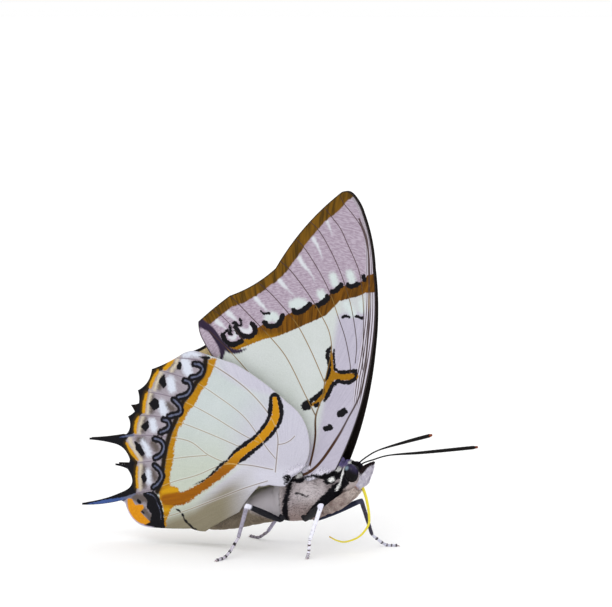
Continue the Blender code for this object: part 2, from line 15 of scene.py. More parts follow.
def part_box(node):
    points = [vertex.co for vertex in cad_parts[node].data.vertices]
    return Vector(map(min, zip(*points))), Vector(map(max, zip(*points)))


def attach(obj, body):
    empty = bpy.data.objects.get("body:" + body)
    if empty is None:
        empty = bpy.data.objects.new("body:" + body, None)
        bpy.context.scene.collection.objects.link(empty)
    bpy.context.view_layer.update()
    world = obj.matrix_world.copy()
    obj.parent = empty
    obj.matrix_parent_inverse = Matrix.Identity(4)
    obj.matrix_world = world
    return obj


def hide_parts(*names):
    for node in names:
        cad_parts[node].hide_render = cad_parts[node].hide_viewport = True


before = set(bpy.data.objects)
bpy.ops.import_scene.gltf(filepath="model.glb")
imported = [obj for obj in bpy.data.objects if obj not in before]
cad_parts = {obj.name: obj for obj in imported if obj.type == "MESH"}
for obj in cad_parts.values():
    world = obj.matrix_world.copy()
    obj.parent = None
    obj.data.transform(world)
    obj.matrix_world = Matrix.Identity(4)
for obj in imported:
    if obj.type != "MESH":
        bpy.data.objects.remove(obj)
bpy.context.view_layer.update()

MM = 0.001
# Farther than any distance on the model, in millimetres
FAR = 99.0
LEFT, RIGHT = 1, -1
SIDES = (("left", LEFT), ("right", RIGHT))
SEED = 7

# Where the source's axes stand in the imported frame: the thorax starts 4.4 mm behind the hinge
THORAX_BACK_X = -4.4
thorax_low, thorax_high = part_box("thorax")
ORIGIN = Vector((thorax_low.x / MM - THORAX_BACK_X, 0.5 * (thorax_low.y + thorax_high.y) / MM, 0.0))

# Camera: the photograph's viewing angle, with the aim in millimetres from the source's origin
VIEW_AZIMUTH, VIEW_ELEVATION = math.radians(20.0), math.radians(5.5)
CAMERA_DISTANCE = 550.8
AIM_ACROSS, AIM_UP = 1.08, 44.55
LENS, SENSOR = 180.0, 36.0
CLIP_START, CLIP_END = 0.01, 100.0

# The floor's width in metres, and the lights: place, spread in degrees and strength
FLOOR_SIZE = 60.0
FLOOR_TONES = ((250, 250, 250), (254, 254, 254))
LIGHTS = {
    "key": ((0.5, -4.0, 3.6), 30.0, 0.6),
    "fill": ((-3.5, -3.5, 1.5), 60.0, 0.1),
    "back": ((2.5, 3.5, 3.0), 50.0, 0.2),
}

# Wing surfaces: y at the tip, added y at the hinge, how far that reaches and how fast it fades
FORE_SHAPE = (0.55, 3.75, 16.0, 1.6)
HIND_SHAPE = (0.7, 4.6, 26.0, 2.2)
HINGE = (0.0, 14.0)
# How many edges of each outline, from its first corner, make the wing's front edge
FORE_FRONT_EDGES, HIND_FRONT_EDGES = 4, 3
# Across the wing a vein's flanks end at this many half widths
VEIN_FLANK = 1.6
BEARING_SCALE = 30.0
MEMBRANE_HALF = 0.13
EDGE_HALF = 0.06
VEIN_RISE = 0.09
PLEAT_DEPTH = 0.10
WING_PITCH = 0.24
MARGIN_PITCH = 0.25
VEIN_PITCH = 0.5
MARK_PITCH = 0.35
ROW_STEP = 0.866

FORE_OUTLINE = [
    (8.0, 15.6, 0.95), (14.1, 37.4, 0.45), (14.1, 51.4, 0.4), (12.1, 61.1, 0.25), (10.0, 64.6, 0.3),
    (8.1, 64.9, 0.9), (-4.4, 51.0, -0.5), (-13.2, 45.8, 0.1), (-19.3, 40.9, 0.3), (-18.3, 37.4, 0.1),
    (-15.8, 33.8, 0.2), (-3.0, 21.0, 0.2), (1.9, 14.8, 0.2), (3.0, 13.5, 0.1),
]
HIND_OUTLINE = [
    (0.4, 14.3, 1.1), (3.6, 20.4, 1.1), (-0.8, 27.4, 0.4), (-11.5, 33.8, 0.0), (-18.0, 35.4, 0.45),
    (-22.0, 35.05, -0.2), (-28.1, 32.0, -0.65), (-30.9, 28.0, -1.15), (-32.9, 23.1, -0.35),
    (-32.7, 20.5, -0.45), (-35.0, 19.45, -0.1), (-40.8, 18.75, 0.0), (-40.8, 18.4, -0.1),
    (-36.0, 18.0, -0.7), (-32.5, 15.2, -0.15), (-33.2, 14.2, 0.0), (-35.5, 14.3, 0.0), (-35.5, 13.95, -0.1),
    (-33.0, 13.45, -1.5), (-34.1, 9.15, -0.3), (-42.4, 6.55, 0.0), (-42.4, 6.2, 0.25), (-34.4, 7.5, -0.1),
    (-33.5, 7.0, 1.4), (-27.8, 2.95, 0.1), (-19.9, 3.4, 0.15), (-17.0, 3.1, -0.1), (-10.0, 7.2, -0.2),
    (-6.0, 12.2, 0.1), (-4.0, 12.6, 0.1), (-1.0, 12.5, 0.2),
]
# The left hindwing is held a little higher and further back, and differs at these corners
HIND_LEFT_CORNERS = {
    (-18.0, 35.4, 0.45): (-18.7, 36.6, -0.15), (-32.9, 23.1, -0.35): (-33.5, 24.9, -0.6),
    (-40.8, 18.75, 0.0): (-41.2, 18.6, 0.0), (-40.8, 18.4, -0.1): (-41.2, 18.3, -0.1),
    (-35.5, 14.3, 0.0): (-35.9, 14.15, 0.0), (-35.5, 13.95, -0.1): (-35.9, 13.85, -0.1),
    (-42.4, 6.55, 0.0): (-42.4, 6.42, 0.0), (-42.4, 6.2, 0.25): (-42.4, 6.1, 0.25),
}

# Veins: half width in millimetres and the points that the vein runs through, base first
FORE_VEINS = [
    (0.20, [(1.4, 14.3), (3.4, 15.2), (5.5, 17.3), (8.2, 21.5), (10.0, 25.0), (11.6, 28.2), (12.5, 31.5),
            (12.95, 36.0), (13.25, 42.0), (13.3, 49.0), (13.2, 53.5), (12.7, 57.0), (11.4, 60.2)]),
    (0.09, [(13.3, 51.0), (13.1, 54.4), (12.0, 58.3), (10.5, 60.6), (8.5, 62.9), (7.9, 64.2)]),
    (0.10, [(12.3, 33.5), (12.3, 38.0), (12.3, 44.0), (11.8, 49.2), (11.0, 52.0), (9.1, 56.0), (7.9, 58.4),
            (6.2, 60.5), (4.4, 62.6)]),
    (0.10, [(10.9, 34.6), (11.1, 37.8), (10.6, 41.6), (9.65, 45.8), (7.9, 50.7), (5.75, 55.0), (3.7, 58.1),
            (1.7, 59.9)]),
    (0.10, [(9.9, 32.8), (10.0, 34.2), (9.0, 38.8), (7.65, 42.5), (5.95, 47.0), (3.8, 50.9), (1.1, 54.8),
            (-0.8, 56.6)]),
    (0.11, [(5.4, 31.4), (6.4, 36.5), (5.9, 40.0), (4.3, 43.0), (2.35, 46.0), (-0.1, 49.1), (-1.95, 51.1),
            (-3.9, 52.6)]),
    (0.11, [(5.3, 31.0), (4.2, 33.3), (2.3, 37.0), (0.1, 40.7), (-2.0, 43.2), (-5.3, 46.5), (-7.8, 48.4)]),
    (0.11, [(4.0, 25.0), (1.8, 28.7), (-2.1, 35.2), (-5.85, 39.2), (-9.5, 42.6), (-12.9, 45.7)]),
    (0.15, [(3.0, 14.9), (3.8, 18.6), (4.1, 21.5), (4.0, 25.0), (5.0, 28.4), (5.4, 31.4)]),
    (0.10, [(2.4, 16.4), (-1.0, 22.8), (-4.0, 26.5), (-8.9, 31.8), (-12.9, 35.7), (-17.2, 39.4)]),
    (0.07, [(-9.4, 36.9), (-12.2, 39.8), (-14.7, 42.1), (-16.6, 43.2)]),
]
COSTAL_STRIP = ([22.0, 25.0, 28.0, 32.0, 40.0, 48.0, 54.0, 60.0], [0.4, 1.0, 1.6, 2.2, 2.1, 1.7, 1.2, 0.6])
HIND_VEINS = [
    (0.13, [(-2.7, 15.0), (-2.4, 18.5), (-2.4, 21.5), (-4.1, 25.1), (-8.7, 29.4), (-14.8, 32.9),
            (-18.8, 34.1), (-23.2, 34.3)]),
    (0.10, [(-2.3, 19.9), (-1.0, 20.2), (0.1, 20.8), (0.9, 21.6)]),
    (0.10, [(-2.7, 17.4), (-4.4, 19.2), (-6.1, 21.3), (-9.3, 24.7), (-14.6, 27.9), (-19.4, 30.2),
            (-25.0, 31.6), (-28.0, 32.0)]),
    (0.10, [(-6.0, 20.1), (-9.2, 21.3), (-15.6, 24.3), (-21.0, 26.4), (-25.0, 27.4), (-30.8, 28.0)]),
    (0.10, [(-10.1, 19.2), (-14.8, 20.7), (-20.1, 22.2), (-25.0, 23.3), (-29.0, 23.5), (-32.7, 23.1)]),
    (0.11, [(-3.2, 15.4), (-7.6, 15.9), (-12.0, 16.0), (-16.1, 17.2), (-20.1, 19.4), (-26.0, 19.9),
            (-31.0, 19.7), (-40.2, 18.6)]),
    (0.10, [(-16.4, 17.1), (-20.0, 16.6), (-24.0, 15.9), (-30.0, 14.9), (-35.2, 14.1)]),
    (0.10, [(-11.0, 16.0), (-13.8, 15.4), (-18.6, 13.3), (-23.0, 11.9), (-28.0, 10.0), (-34.0, 8.4),
            (-41.8, 6.5)]),
    (0.10, [(-4.2, 13.3), (-9.0, 11.6), (-15.4, 8.9), (-21.0, 6.6), (-25.8, 4.9)]),
    (0.06, [(-7.4, 20.4), (-8.2, 19.6), (-10.1, 19.2)]),
]

# Forewing markings. Lines carry a half width or several along them; areas are closed shapes
FORE_MARGIN_WIDTH = [
    (10.6, 64.3), (9.3, 63.5), (7.7, 61.6), (5.0, 59.6), (2.4, 56.7), (-0.1, 53.4), (-2.1, 50.7),
    (-3.6, 49.1), (-5.7, 47.6), (-7.8, 46.1), (-10.2, 44.7), (-12.9, 43.7), (-15.1, 42.0), (-16.8, 40.6),
    (-18.4, 40.2), (-21.0, 40.0), (-20.0, 45.0), (-12.0, 49.0), (-4.0, 55.0), (4.0, 68.0), (11.0, 67.0),
]
FORE_BAND = [
    (15.0, 50.9), (12.9, 50.2), (12.2, 49.3), (11.2, 48.8), (10.1, 48.2), (9.3, 48.4), (8.1, 48.3),
    (6.4, 47.2), (5.5, 46.2), (4.6, 45.3), (3.8, 44.8), (2.3, 44.8), (0.2, 43.4), (-0.9, 43.4),
    (-2.9, 42.4), (-4.1, 41.0), (-6.5, 41.0), (-8.2, 40.0), (-9.1, 38.4), (-10.4, 38.0), (-12.0, 37.2),
    (-13.6, 36.6), (-11.8, 35.9), (-10.5, 36.6), (-9.0, 37.2), (-6.4, 38.25), (-4.1, 38.75), (-1.7, 39.7),
    (1.0, 40.95), (2.5, 41.6), (5.4, 43.0), (6.8, 44.5), (7.8, 45.5), (9.7, 46.1), (11.6, 46.6),
    (12.7, 47.1), (15.0, 47.4),
]
FORE_Y_OCHRE = [
    ([(6.43, 36.77), (6.41, 35.35), (6.5, 33.93), (6.6, 32.52)], [0.2, 0.34, 0.4, 0.5]),
    ([(6.72, 32.24), (8.68, 32.1), (10.89, 32.28)], [0.7, 0.66, 0.66]),
    ([(6.62, 32.52), (6.2, 30.91), (5.71, 29.75), (4.85, 28.39), (4.17, 27.49)], [0.8, 0.72, 0.6, 0.6, 0.4]),
    ([(4.17, 27.49), (3.07, 26.92)], [0.4, 0.3]),
]
FORE_BLACK = [
    ([(12.25, 50.1), (12.4, 49.5)], 0.34),
    ([(9.3, 48.5), (9.9, 48.15), (10.6, 48.35), (11.3, 48.75)], 0.38),
    ([(6.3, 47.1), (6.9, 47.3), (7.5, 47.7), (8.1, 48.4)], 0.42),
    ([(3.7, 44.6), (4.4, 45.05), (5.1, 45.4), (5.5, 46.2)], 0.46),
    ([(-0.9, 43.6), (-0.3, 43.25), (0.5, 43.4), (1.3, 43.9), (2.2, 44.8)], 0.44),
    ([(-6.4, 41.3), (-5.8, 40.75), (-4.9, 40.6), (-4.1, 40.85), (-3.3, 41.5), (-2.95, 42.6)], 0.42),
    ([(-8.8, 40.9), (-8.2, 40.1), (-8.3, 39.2), (-9.1, 38.6), (-10.4, 38.6), (-11.3, 39.2), (-12.0, 40.2)],
     0.44),
    ([(-11.1, 41.6), (-10.8, 40.7), (-11.4, 40.5), (-11.9, 41.0), (-12.4, 40.9)], 0.22),
    ([(-14.4, 38.6), (-14.1, 37.9), (-13.4, 37.25), (-12.0, 37.05), (-10.7, 37.7)], 0.42),
    ([(-14.2, 39.0), (-13.5, 39.5), (-13.2, 39.0), (-12.75, 38.9), (-12.9, 39.7), (-13.2, 40.5)], 0.22),
    ([(-7.2, 43.3), (-6.5, 42.8), (-5.5, 42.9)], 0.16), ([(8.4, 42.7), (9.0, 42.9), (9.6, 42.75)], 0.22),
    ([(10.9, 42.9), (11.5, 42.75), (12.2, 42.6)], 0.2),
    ([(6.32, 37.38), (5.86, 36.57), (5.77, 35.5), (6.03, 34.62), (6.09, 33.39), (5.92, 32.32),
      (5.48, 31.28)], [0.2, 0.36, 0.36, 0.3, 0.3, 0.3, 0.2]),
    ([(6.84, 36.96), (6.92, 35.37), (7.01, 33.77)], 0.13),
    ([(7.13, 33.42), (8.1, 32.89), (9.2, 33), (11.05, 33.21)], [0.16, 0.3, 0.3, 0.32]),
    ([(11.09, 33.21), (11.08, 32.06)], 0.2),
    ([(6.88, 30.62), (7.78, 31.29), (9.27, 31.13), (10.18, 31.3), (10.98, 31.86)],
     [0.28, 0.28, 0.31, 0.31, 0.24]),
    ([(6.94, 30.94), (6.5, 30.04), (6.06, 28.97), (5.46, 27.75)], [0.3, 0.34, 0.34, 0.24]),
    ([(5.21, 29.71), (4.43, 28.91), (3.51, 28.03), (3.04, 27.65)], [0.2, 0.34, 0.42, 0.36]),
    ([(2.05, 26.73), (2.3, 26.96)], 0.82), ([(3.95, 26.88), (4.2, 26.99)], 0.42),
    ([(8.53, 25.62), (9.1, 25.99)], 0.64), ([(5.97, 22.87), (6.69, 23.11)], 0.5),
]
FORE_TORNAL = [
    ([(-19.3, 40.9), (-16.9, 39.6), (-15.3, 37.7), (-14.5, 35.9), (-14.7, 34.2)],
     [0.9, 0.62, 0.62, 0.62, 0.25]),
    ([(-14.5, 37.0), (-13.3, 36.1), (-11.6, 35.8), (-10.0, 36.3)], [0.55, 0.5, 0.35, 0.1]),
]
FORE_WHITE = [
    ([(5.4, 59.6), (6.0, 58.2), (6.3, 57.2)], [0.34, 0.22, 0.08]),
    ([(2.8, 56.5), (3.8, 54.8), (4.6, 52.8)], [0.45, 0.3, 0.08]),
    ([(0.2, 53.0), (0.75, 52.0), (2.4, 50.2), (3.2, 48.6)], [0.5, 0.42, 0.2, 0.06]),
    ([(-3.6, 48.9), (-2.9, 48.1), (-2.1, 47.4), (-0.7, 46.1)], [0.52, 0.42, 0.2, 0.1]),
    ([(-8.1, 45.5), (-6.9, 44.3), (-5.4, 42.9)], [0.55, 0.4, 0.1]),
    ([(-13.4, 42.7), (-12.6, 42.1), (-11.8, 41.4)], [0.62, 0.5, 0.2]),
    ([(-15.6, 41.1), (-14.6, 40.4), (-13.9, 39.9)], [0.62, 0.45, 0.2]),
    ([(-10.9, 40.0), (-10.2, 39.5), (-9.2, 39.7), (-9.0, 41.0)], [0.35, 0.6, 0.5, 0.3]),
    ([(-13.2, 38.3), (-12.3, 38.2), (-11.9, 39.2), (-12.4, 39.8)], [0.3, 0.5, 0.4, 0.2]),
]
FORE_CLOUD = [
    ([(-0.9, 44.6), (0.1, 44.9), (0.9, 44.8)], 0.95),
    ([(-5.7, 42.1), (-4.9, 42.5), (-4.3, 42.1)], 0.85),
    ([(4.3, 46.7), (4.8, 45.9)], 0.8),
    ([(6.5, 49.9), (6.9, 48.7)], 0.75),
    ([(9.7, 50.4), (10.1, 49.3)], 0.75),
    ([(9.2, 44.9), (10.0, 44.0), (10.3, 43.4)], 0.75),
    ([(11.9, 45.4), (12.0, 44.0)], 0.6),
]

# The forewing's lilac outer zone
FORE_OUTER = [(16, 49), (7, 46.6), (0, 42.4), (-13, 36.6), (-17, 33), (-25, 45), (0, 75), (20, 66)]

# Hindwing markings
HIND_BAR = ([(-3.2, 28.0), (-2.9, 26.2), (-3.0, 24.6), (-3.9, 22.9), (-5.5, 21.0), (-7.4, 19.4), (-9.8, 17.6),
             (-12.0, 15.4), (-15.5, 12.6), (-18.8, 10.4), (-21.6, 8.9), (-25.0, 8.4)],
            [0.5, 0.85, 0.8, 0.75, 0.65, 0.85, 0.9, 0.75, 0.75, 0.95, 1.25, 0.9])
HIND_BAR_EDGE = (HIND_BAR[0][:7] + [(-11.2, 16.5)], [1.1, 1.55, 1.45, 1.35, 1.15, 1.36, 1.36, 1.0])
HIND_BAND = [
    (-15.1, 34.6), (-15.4, 33.3), (-15.9, 31.9), (-16.8, 29.9), (-17.7, 28.8), (-18.4, 27.5), (-19.1, 26.1),
    (-20.5, 24.7), (-21.4, 22.8), (-22.4, 21.4), (-22.8, 19.8), (-23.2, 18.2), (-23.3, 16.7), (-23.6, 15.0),
    (-24.0, 13.6), (-24.2, 11.8), (-24.1, 11.0), (-22.5, 10.8), (-22.0, 9.6), (-22.9, 7.4), (-24.1, 6.7),
    (-24.4, 5.8), (-25.0, 4.7), (-25.1, 3.2), (-25.7, 3.2), (-25.5, 5.5), (-25.6, 7.2), (-26.2, 8.4),
    (-26.4, 9.6), (-25.8, 10.9), (-25.4, 12.4), (-25.2, 13.6), (-25.0, 15.2), (-24.7, 16.6), (-24.3, 18.4),
    (-23.8, 20.2), (-23.1, 21.6), (-22.5, 23.0), (-21.8, 24.6), (-21.2, 26.2), (-20.2, 27.5), (-19.2, 28.8),
    (-18.4, 30.1), (-17.4, 31.2), (-16.9, 32.8), (-16.7, 34.3),
]
HIND_BAND_EDGE = [(-17.2, 34.4), (-17.2, 32.9), (-17.7, 31.3), (-18.8, 30.2), (-19.6, 28.9), (-20.6, 27.6),
                  (-21.6, 26.3), (-22.2, 24.7), (-22.9, 23.1), (-23.6, 21.7), (-24.2, 20.3), (-24.7, 18.5),
                  (-25.1, 16.7), (-25.4, 15.2), (-25.6, 13.6), (-25.8, 12.4), (-26.2, 10.9), (-26.8, 9.7)]
HIND_BRIGHT = [([(-25.6, 9.7), (-24.2, 10.2), (-22.6, 10.3)], [0.3, 0.5, 0.3]),
               ([(-25.3, 6.4), (-24.6, 6.6)], [0.3, 0.3])]
HIND_LUNULES = [
    [(-19.4, 33.4), (-18.4, 33.3), (-17.7, 32.7), (-17.9, 31.8), (-18.7, 31.2), (-20.0, 30.9)],
    [(-21.3, 30.3), (-20.4, 30.1), (-19.95, 29.2), (-20.2, 28.4), (-20.9, 27.7), (-22.5, 27.2)],
    [(-23.5, 26.7), (-22.4, 25.9), (-21.9, 25.0), (-22.2, 24.3), (-23.3, 24.0), (-24.4, 23.6)],
    [(-25.5, 23.0), (-24.6, 22.8), (-24.25, 22.1), (-24.6, 21.3), (-26.1, 20.6)],
    [(-27.3, 19.4), (-26.0, 19.1), (-25.35, 18.2), (-25.5, 17.2), (-26.2, 16.4), (-27.2, 15.8)],
    [(-27.3, 14.5), (-26.3, 13.8), (-25.75, 12.8), (-26.0, 11.9), (-26.8, 11.0), (-27.6, 10.4)],
]
LUNULE_BLACK, LUNULE_BLUE, SPOT_GROWTH = 0.66, 0.15, 0.14
HIND_BLACK = [
    ([(-11.6, 16.9), (-12.4, 16.3), (-13.6, 15.5), (-15.0, 14.2), (-15.8, 13.3), (-17.2, 12.4), (-18.6, 11.8),
      (-19.4, 11.45)], [0.1, 0.24, 0.26, 0.2, 0.25, 0.2, 0.2, 0.05]),
    ([(-23.4, 6.8), (-22.3, 6.6), (-21.7, 6.1), (-21.2, 5.0), (-20.3, 4.2), (-19.7, 3.6), (-18.9, 3.3)],
     [0.1, 0.17, 0.24, 0.17, 0.24, 0.24, 0.12]),
    ([(-18.6, 34.7), (-17.6, 34.6), (-16.6, 34.6)], [0.1, 0.2, 0.26]),
    ([(-30.7, 7.7), (-30.4, 7.5)], 0.34), ([(-30.2, 5.9), (-29.7, 5.6)], 0.2),
]
HIND_RIM = [
    (-23.4, 34.7), (-24.5, 33.3), (-25.5, 32.2), (-26.8, 31.6), (-27.75, 30.4), (-28.4, 28.8),
    (-29.0, 27.5), (-29.5, 26.0), (-29.7, 24.0), (-30.75, 23.0), (-31.3, 21.8), (-31.4, 20.3),
    (-32.6, 19.5), (-33.3, 18.6), (-32.6, 17.1), (-31.6, 15.8), (-30.9, 15.0), (-31.0, 13.9),
    (-31.15, 12.1), (-31.0, 10.1), (-31.2, 9.1), (-32.6, 8.5), (-33.6, 7.6), (-36.0, 5.0), (-45.0, 5.0),
    (-45.0, 37.0), (-24.0, 36.0),
]
HIND_SPOTS = [
    [(-22.4, 33.7), (-22.85, 32.9), (-22.75, 32.3), (-22.3, 32.3), (-22.1, 33.0)],
    [(-25.5, 31.1), (-26.6, 29.8), (-25.6, 28.8), (-25.1, 29.2), (-25.3, 30.2)],
    [(-27.3, 26.7), (-28.5, 25.7), (-27.4, 24.6), (-26.5, 25.2), (-26.7, 26.3)],
    [(-28.8, 22.5), (-30.1, 21.5), (-29.2, 20.7), (-28.6, 21.5)],
    [(-31.4, 18.5), (-30.5, 18.1), (-29.4, 16.4), (-30.1, 16.2), (-31.0, 17.2)],
    [(-29.4, 12.9), (-30.05, 12.2), (-29.6, 11.1), (-29.1, 11.7), (-29.2, 12.3)],
    [(-29.8, 9.1), (-27.7, 9.6), (-26.5, 8.6), (-26.0, 7.3), (-25.7, 5.8), (-25.5, 3.0), (-27.1, 2.6),
     (-28.5, 2.9), (-29.5, 3.3), (-28.3, 4.0), (-27.9, 5.1), (-28.3, 6.0), (-28.9, 6.7), (-28.7, 8.0),
     (-29.4, 8.7)],
]
HIND_BLUE = [
    ([(-31.6, 19.8), (-33.2, 19.45), (-34.6, 19.2)], [0.16, 0.2, 0.06]),
    ([(-31.4, 8.9), (-33.6, 8.0), (-37.0, 7.2), (-41.4, 6.3)], [0.16, 0.3, 0.34, 0.08]),
    ([(-28.9, 9.2), (-27.5, 8.8), (-26.7, 7.4), (-26.2, 6.0), (-26.1, 4.6)], 0.07),
]
HIND_YELLOW = [
    ([(-23.55, 34.4), (-24.4, 33.2), (-25.4, 32.2)], [0.25, 0.46, 0.42]),
    ([(-26.8, 31.7), (-27.75, 30.2), (-28.3, 28.7)], [0.3, 0.38, 0.32]),
    ([(-29.0, 27.6), (-29.4, 26.0), (-29.6, 24.1)], [0.28, 0.38, 0.34]),
    ([(-30.7, 23.1), (-31.2, 21.8), (-31.3, 20.2)], [0.28, 0.36, 0.3]),
    ([(-33.1, 18.2), (-32.5, 17.1), (-31.5, 15.9), (-30.8, 15.3)], [0.24, 0.36, 0.38, 0.25]),
    ([(-30.9, 14.0), (-31.05, 12.1), (-30.9, 10.2)], [0.24, 0.3, 0.3]),
]
HIND_CREAM = [
    ([(-22.8, 34.5), (-23.2, 33.1), (-24.1, 31.9)], 0.24),
    ([(-26.05, 31.7), (-26.8, 30.1), (-27.4, 28.4)], 0.22),
    ([(-28.2, 27.7), (-28.6, 26.0), (-28.8, 24.0)], 0.24),
    ([(-29.8, 23.2), (-30.3, 21.7), (-30.6, 20.2)], 0.22),
    ([(-32.5, 19.1), (-31.9, 17.8), (-30.2, 15.3)], 0.28),
    ([(-30.2, 14.3), (-30.3, 12.2), (-30.35, 9.9)], 0.24),
]
HIND_LOBE = [(-32.9, 8.0), (-32.0, 7.9), (-31.4, 6.9), (-29.8, 7.1), (-29.6, 6.5), (-30.4, 5.7), (-29.6, 5.0),
             (-28.4, 4.0), (-29.4, 3.4), (-31.2, 3.75), (-32.3, 4.6), (-32.95, 6.0), (-33.05, 7.2)]
HIND_SHADE = [
    ([(-23.4, 33.1), (-24.0, 32.3)], 0.3), ([(-26.3, 30.6), (-26.6, 29.0)], 0.4),
    ([(-28.2, 26.9), (-28.2, 24.6)], 0.45), ([(-29.6, 22.8), (-29.9, 20.9)], 0.4),
    ([(-30.6, 19.0), (-29.6, 18.6), (-30.0, 16.0)], 0.3), ([(-29.7, 13.8), (-29.7, 10.6)], 0.35),
    ([(-27.6, 18.6), (-26.9, 17.6)], 0.35), ([(-27.6, 13.2), (-27.2, 12.2)], 0.35),
    ([(-24.6, 25.6), (-23.6, 25.0)], 0.3), ([(-31.4, 8.3), (-29.2, 8.2)], 0.5),
    ([(-29.7, 6.1), (-28.7, 5.2), (-28.1, 4.2)], 0.3),
]
HIND_WHITE = [
    ([(-21.6, 34.9), (-20.0, 35.2), (-18.6, 35.0)], [0.3, 0.5, 0.3]),
    ([(-21.3, 33.6), (-20.7, 32.0)], [0.8, 0.85]), ([(-24.2, 30.1), (-23.9, 28.7)], [0.75, 0.75]),
    ([(-26.0, 25.9), (-25.5, 24.5)], [0.65, 0.75]), ([(-27.8, 22.4), (-27.5, 21.2)], [0.6, 0.65]),
    ([(-29.7, 18.6), (-29.0, 17.5), (-28.5, 16.5)], [0.4, 0.55, 0.5]),
    ([(-28.6, 13.2), (-28.5, 11.4)], [0.42, 0.42]),
]

# Body stations along x: (x, lowest z, highest z, half width)
THORAX_STATIONS = [
    (-4.4, 6.9, 12.9, 2.1), (-3.8, 6.1, 14.0, 2.6), (-2.6, 5.6, 15.4, 3.15), (-0.8, 5.6, 16.8, 3.5),
    (1.2, 5.85, 17.6, 3.6), (3.2, 6.2, 18.0, 3.55), (5.0, 7.0, 18.0, 3.2), (6.3, 8.1, 17.8, 2.75),
    (7.3, 9.4, 17.5, 2.3), (8.0, 10.7, 17.1, 1.85), (8.6, 11.6, 16.6, 1.5),
]
HEAD_STATIONS = [
    (7.8, 12.0, 16.3, 1.3), (8.3, 11.6, 16.5, 1.6), (8.8, 11.3, 16.7, 1.95), (9.6, 11.3, 16.75, 2.15),
    (10.4, 11.7, 16.65, 2.15), (11.2, 12.2, 16.35, 1.9), (11.8, 12.9, 15.8, 1.4), (12.1, 13.5, 15.3, 0.8),
]
ABDOMEN_STATIONS = [
    (-3.4, 6.0, 12.4, 2.2), (-4.4, 5.4, 12.0, 2.35), (-6.0, 4.95, 11.6, 2.6), (-8.0, 4.5, 10.9, 2.65),
    (-10.0, 4.0, 10.1, 2.55), (-12.0, 3.55, 9.2, 2.35), (-14.0, 3.2, 8.2, 2.05), (-16.0, 3.0, 7.2, 1.7),
    (-18.0, 3.1, 6.2, 1.25), (-19.4, 3.5, 5.5, 0.8), (-20.2, 4.0, 5.0, 0.4),
]
BODY_ROUNDNESS = 2.2
BODY_SIDES, BODY_STEPS = 40, 6
SEGMENT_PITCH = 2.25
SEGMENT_DEPTH = 0.05
SKIN_PITCH = 0.17
SKIN_SOFTENING, SKIN_SOFT_ROUNDS = 0.5, 5
EYE_CENTRE = (10.33, 1.75, 14.95)
EYE_RADII = (1.3, 1.05, 1.68)
EYE_LEAN = math.radians(14.0)
EYE_SUBDIVISIONS = 5

# Limbs as centre lines of (x, y, z), y counted outwards from the middle
ANTENNA_RIGHT = [
    (10.9, 0.85, 16.0), (11.5, 0.95, 16.7), (13.3, 1.9, 18.05), (16.1, 3.3, 19.6), (21.7, 5.8, 21.6),
    (27.3, 8.0, 23.4),
]
ANTENNA_LEFT = [
    (11.2, 0.85, 16.0), (11.8, 0.95, 16.5), (13.2, 1.6, 17.0), (16.0, 3.0, 17.8), (21.7, 5.0, 18.3),
    (30.8, 8.0, 19.3),
]
ANTENNA_SHAFT, ANTENNA_CLUB, ANTENNA_CLUB_START = 0.13, 0.33, 0.6
PALP = [(11.0, 0.86, 12.4), (11.7, 0.86, 13.4), (12.45, 0.86, 14.9), (13.1, 0.84, 15.9), (13.6, 0.82, 16.5)]
PALP_DEPTHS = [0.72, 1.12, 1.0, 0.66, 0.15]
PALP_HALF_WIDTH = 0.66
PROBOSCIS = [(11.2, 0.0, 13.1), (11.96, 0.0, 12.0), (12.63, 0.0, 10.1), (13.12, 0.0, 7.2), (12.9, 0.0, 5.3),
             (11.2, 0.0, 3.25), (8.7, 0.0, 2.2), (7.0, 0.0, 2.35), (5.6, 0.0, 2.95)]
PROBOSCIS_RADII = (0.26, 0.11)
LEGS = {
    "midleg_right": (RIGHT, (1.0, 1.3, 7.6), (1.9, 2.3, 6.2), (6.6, 7.0, 9.8), (4.3, 6.8, 3.3),
                     (4.0, 6.5, 1.0), (4.0, 7.3, 0.2)),
    "midleg_left": (LEFT, (1.0, 1.3, 7.4), (2.4, 2.2, 5.6), (9.6, 6.0, 8.8), (10.8, 8.5, 2.2),
                    (12.9, 9.8, 0.35), (15.0, 10.3, 0.2)),
    "hindleg_right": (RIGHT, (-2.2, 1.3, 7.2), (-3.0, 2.3, 5.8), (-7.7, 6.5, 8.8), (-8.5, 8.8, 3.3),
                      (-9.5, 11.8, 0.6), (-10.2, 15.0, 0.2)),
    "hindleg_left": (LEFT, (-2.2, 1.3, 7.2), (-3.0, 2.3, 5.6), (-5.1, 8.0, 7.7), (-9.4, 8.4, 1.6),
                     (-11.5, 9.3, 0.3), (-13.6, 10.6, 0.2)),
}
COXA_RADIUS, FEMUR_RADIUS, TIBIA_RADIUS, TARSUS_RADIUS = 0.62, 0.56, 0.43, 0.27
TARSUS_JOINTS = 5
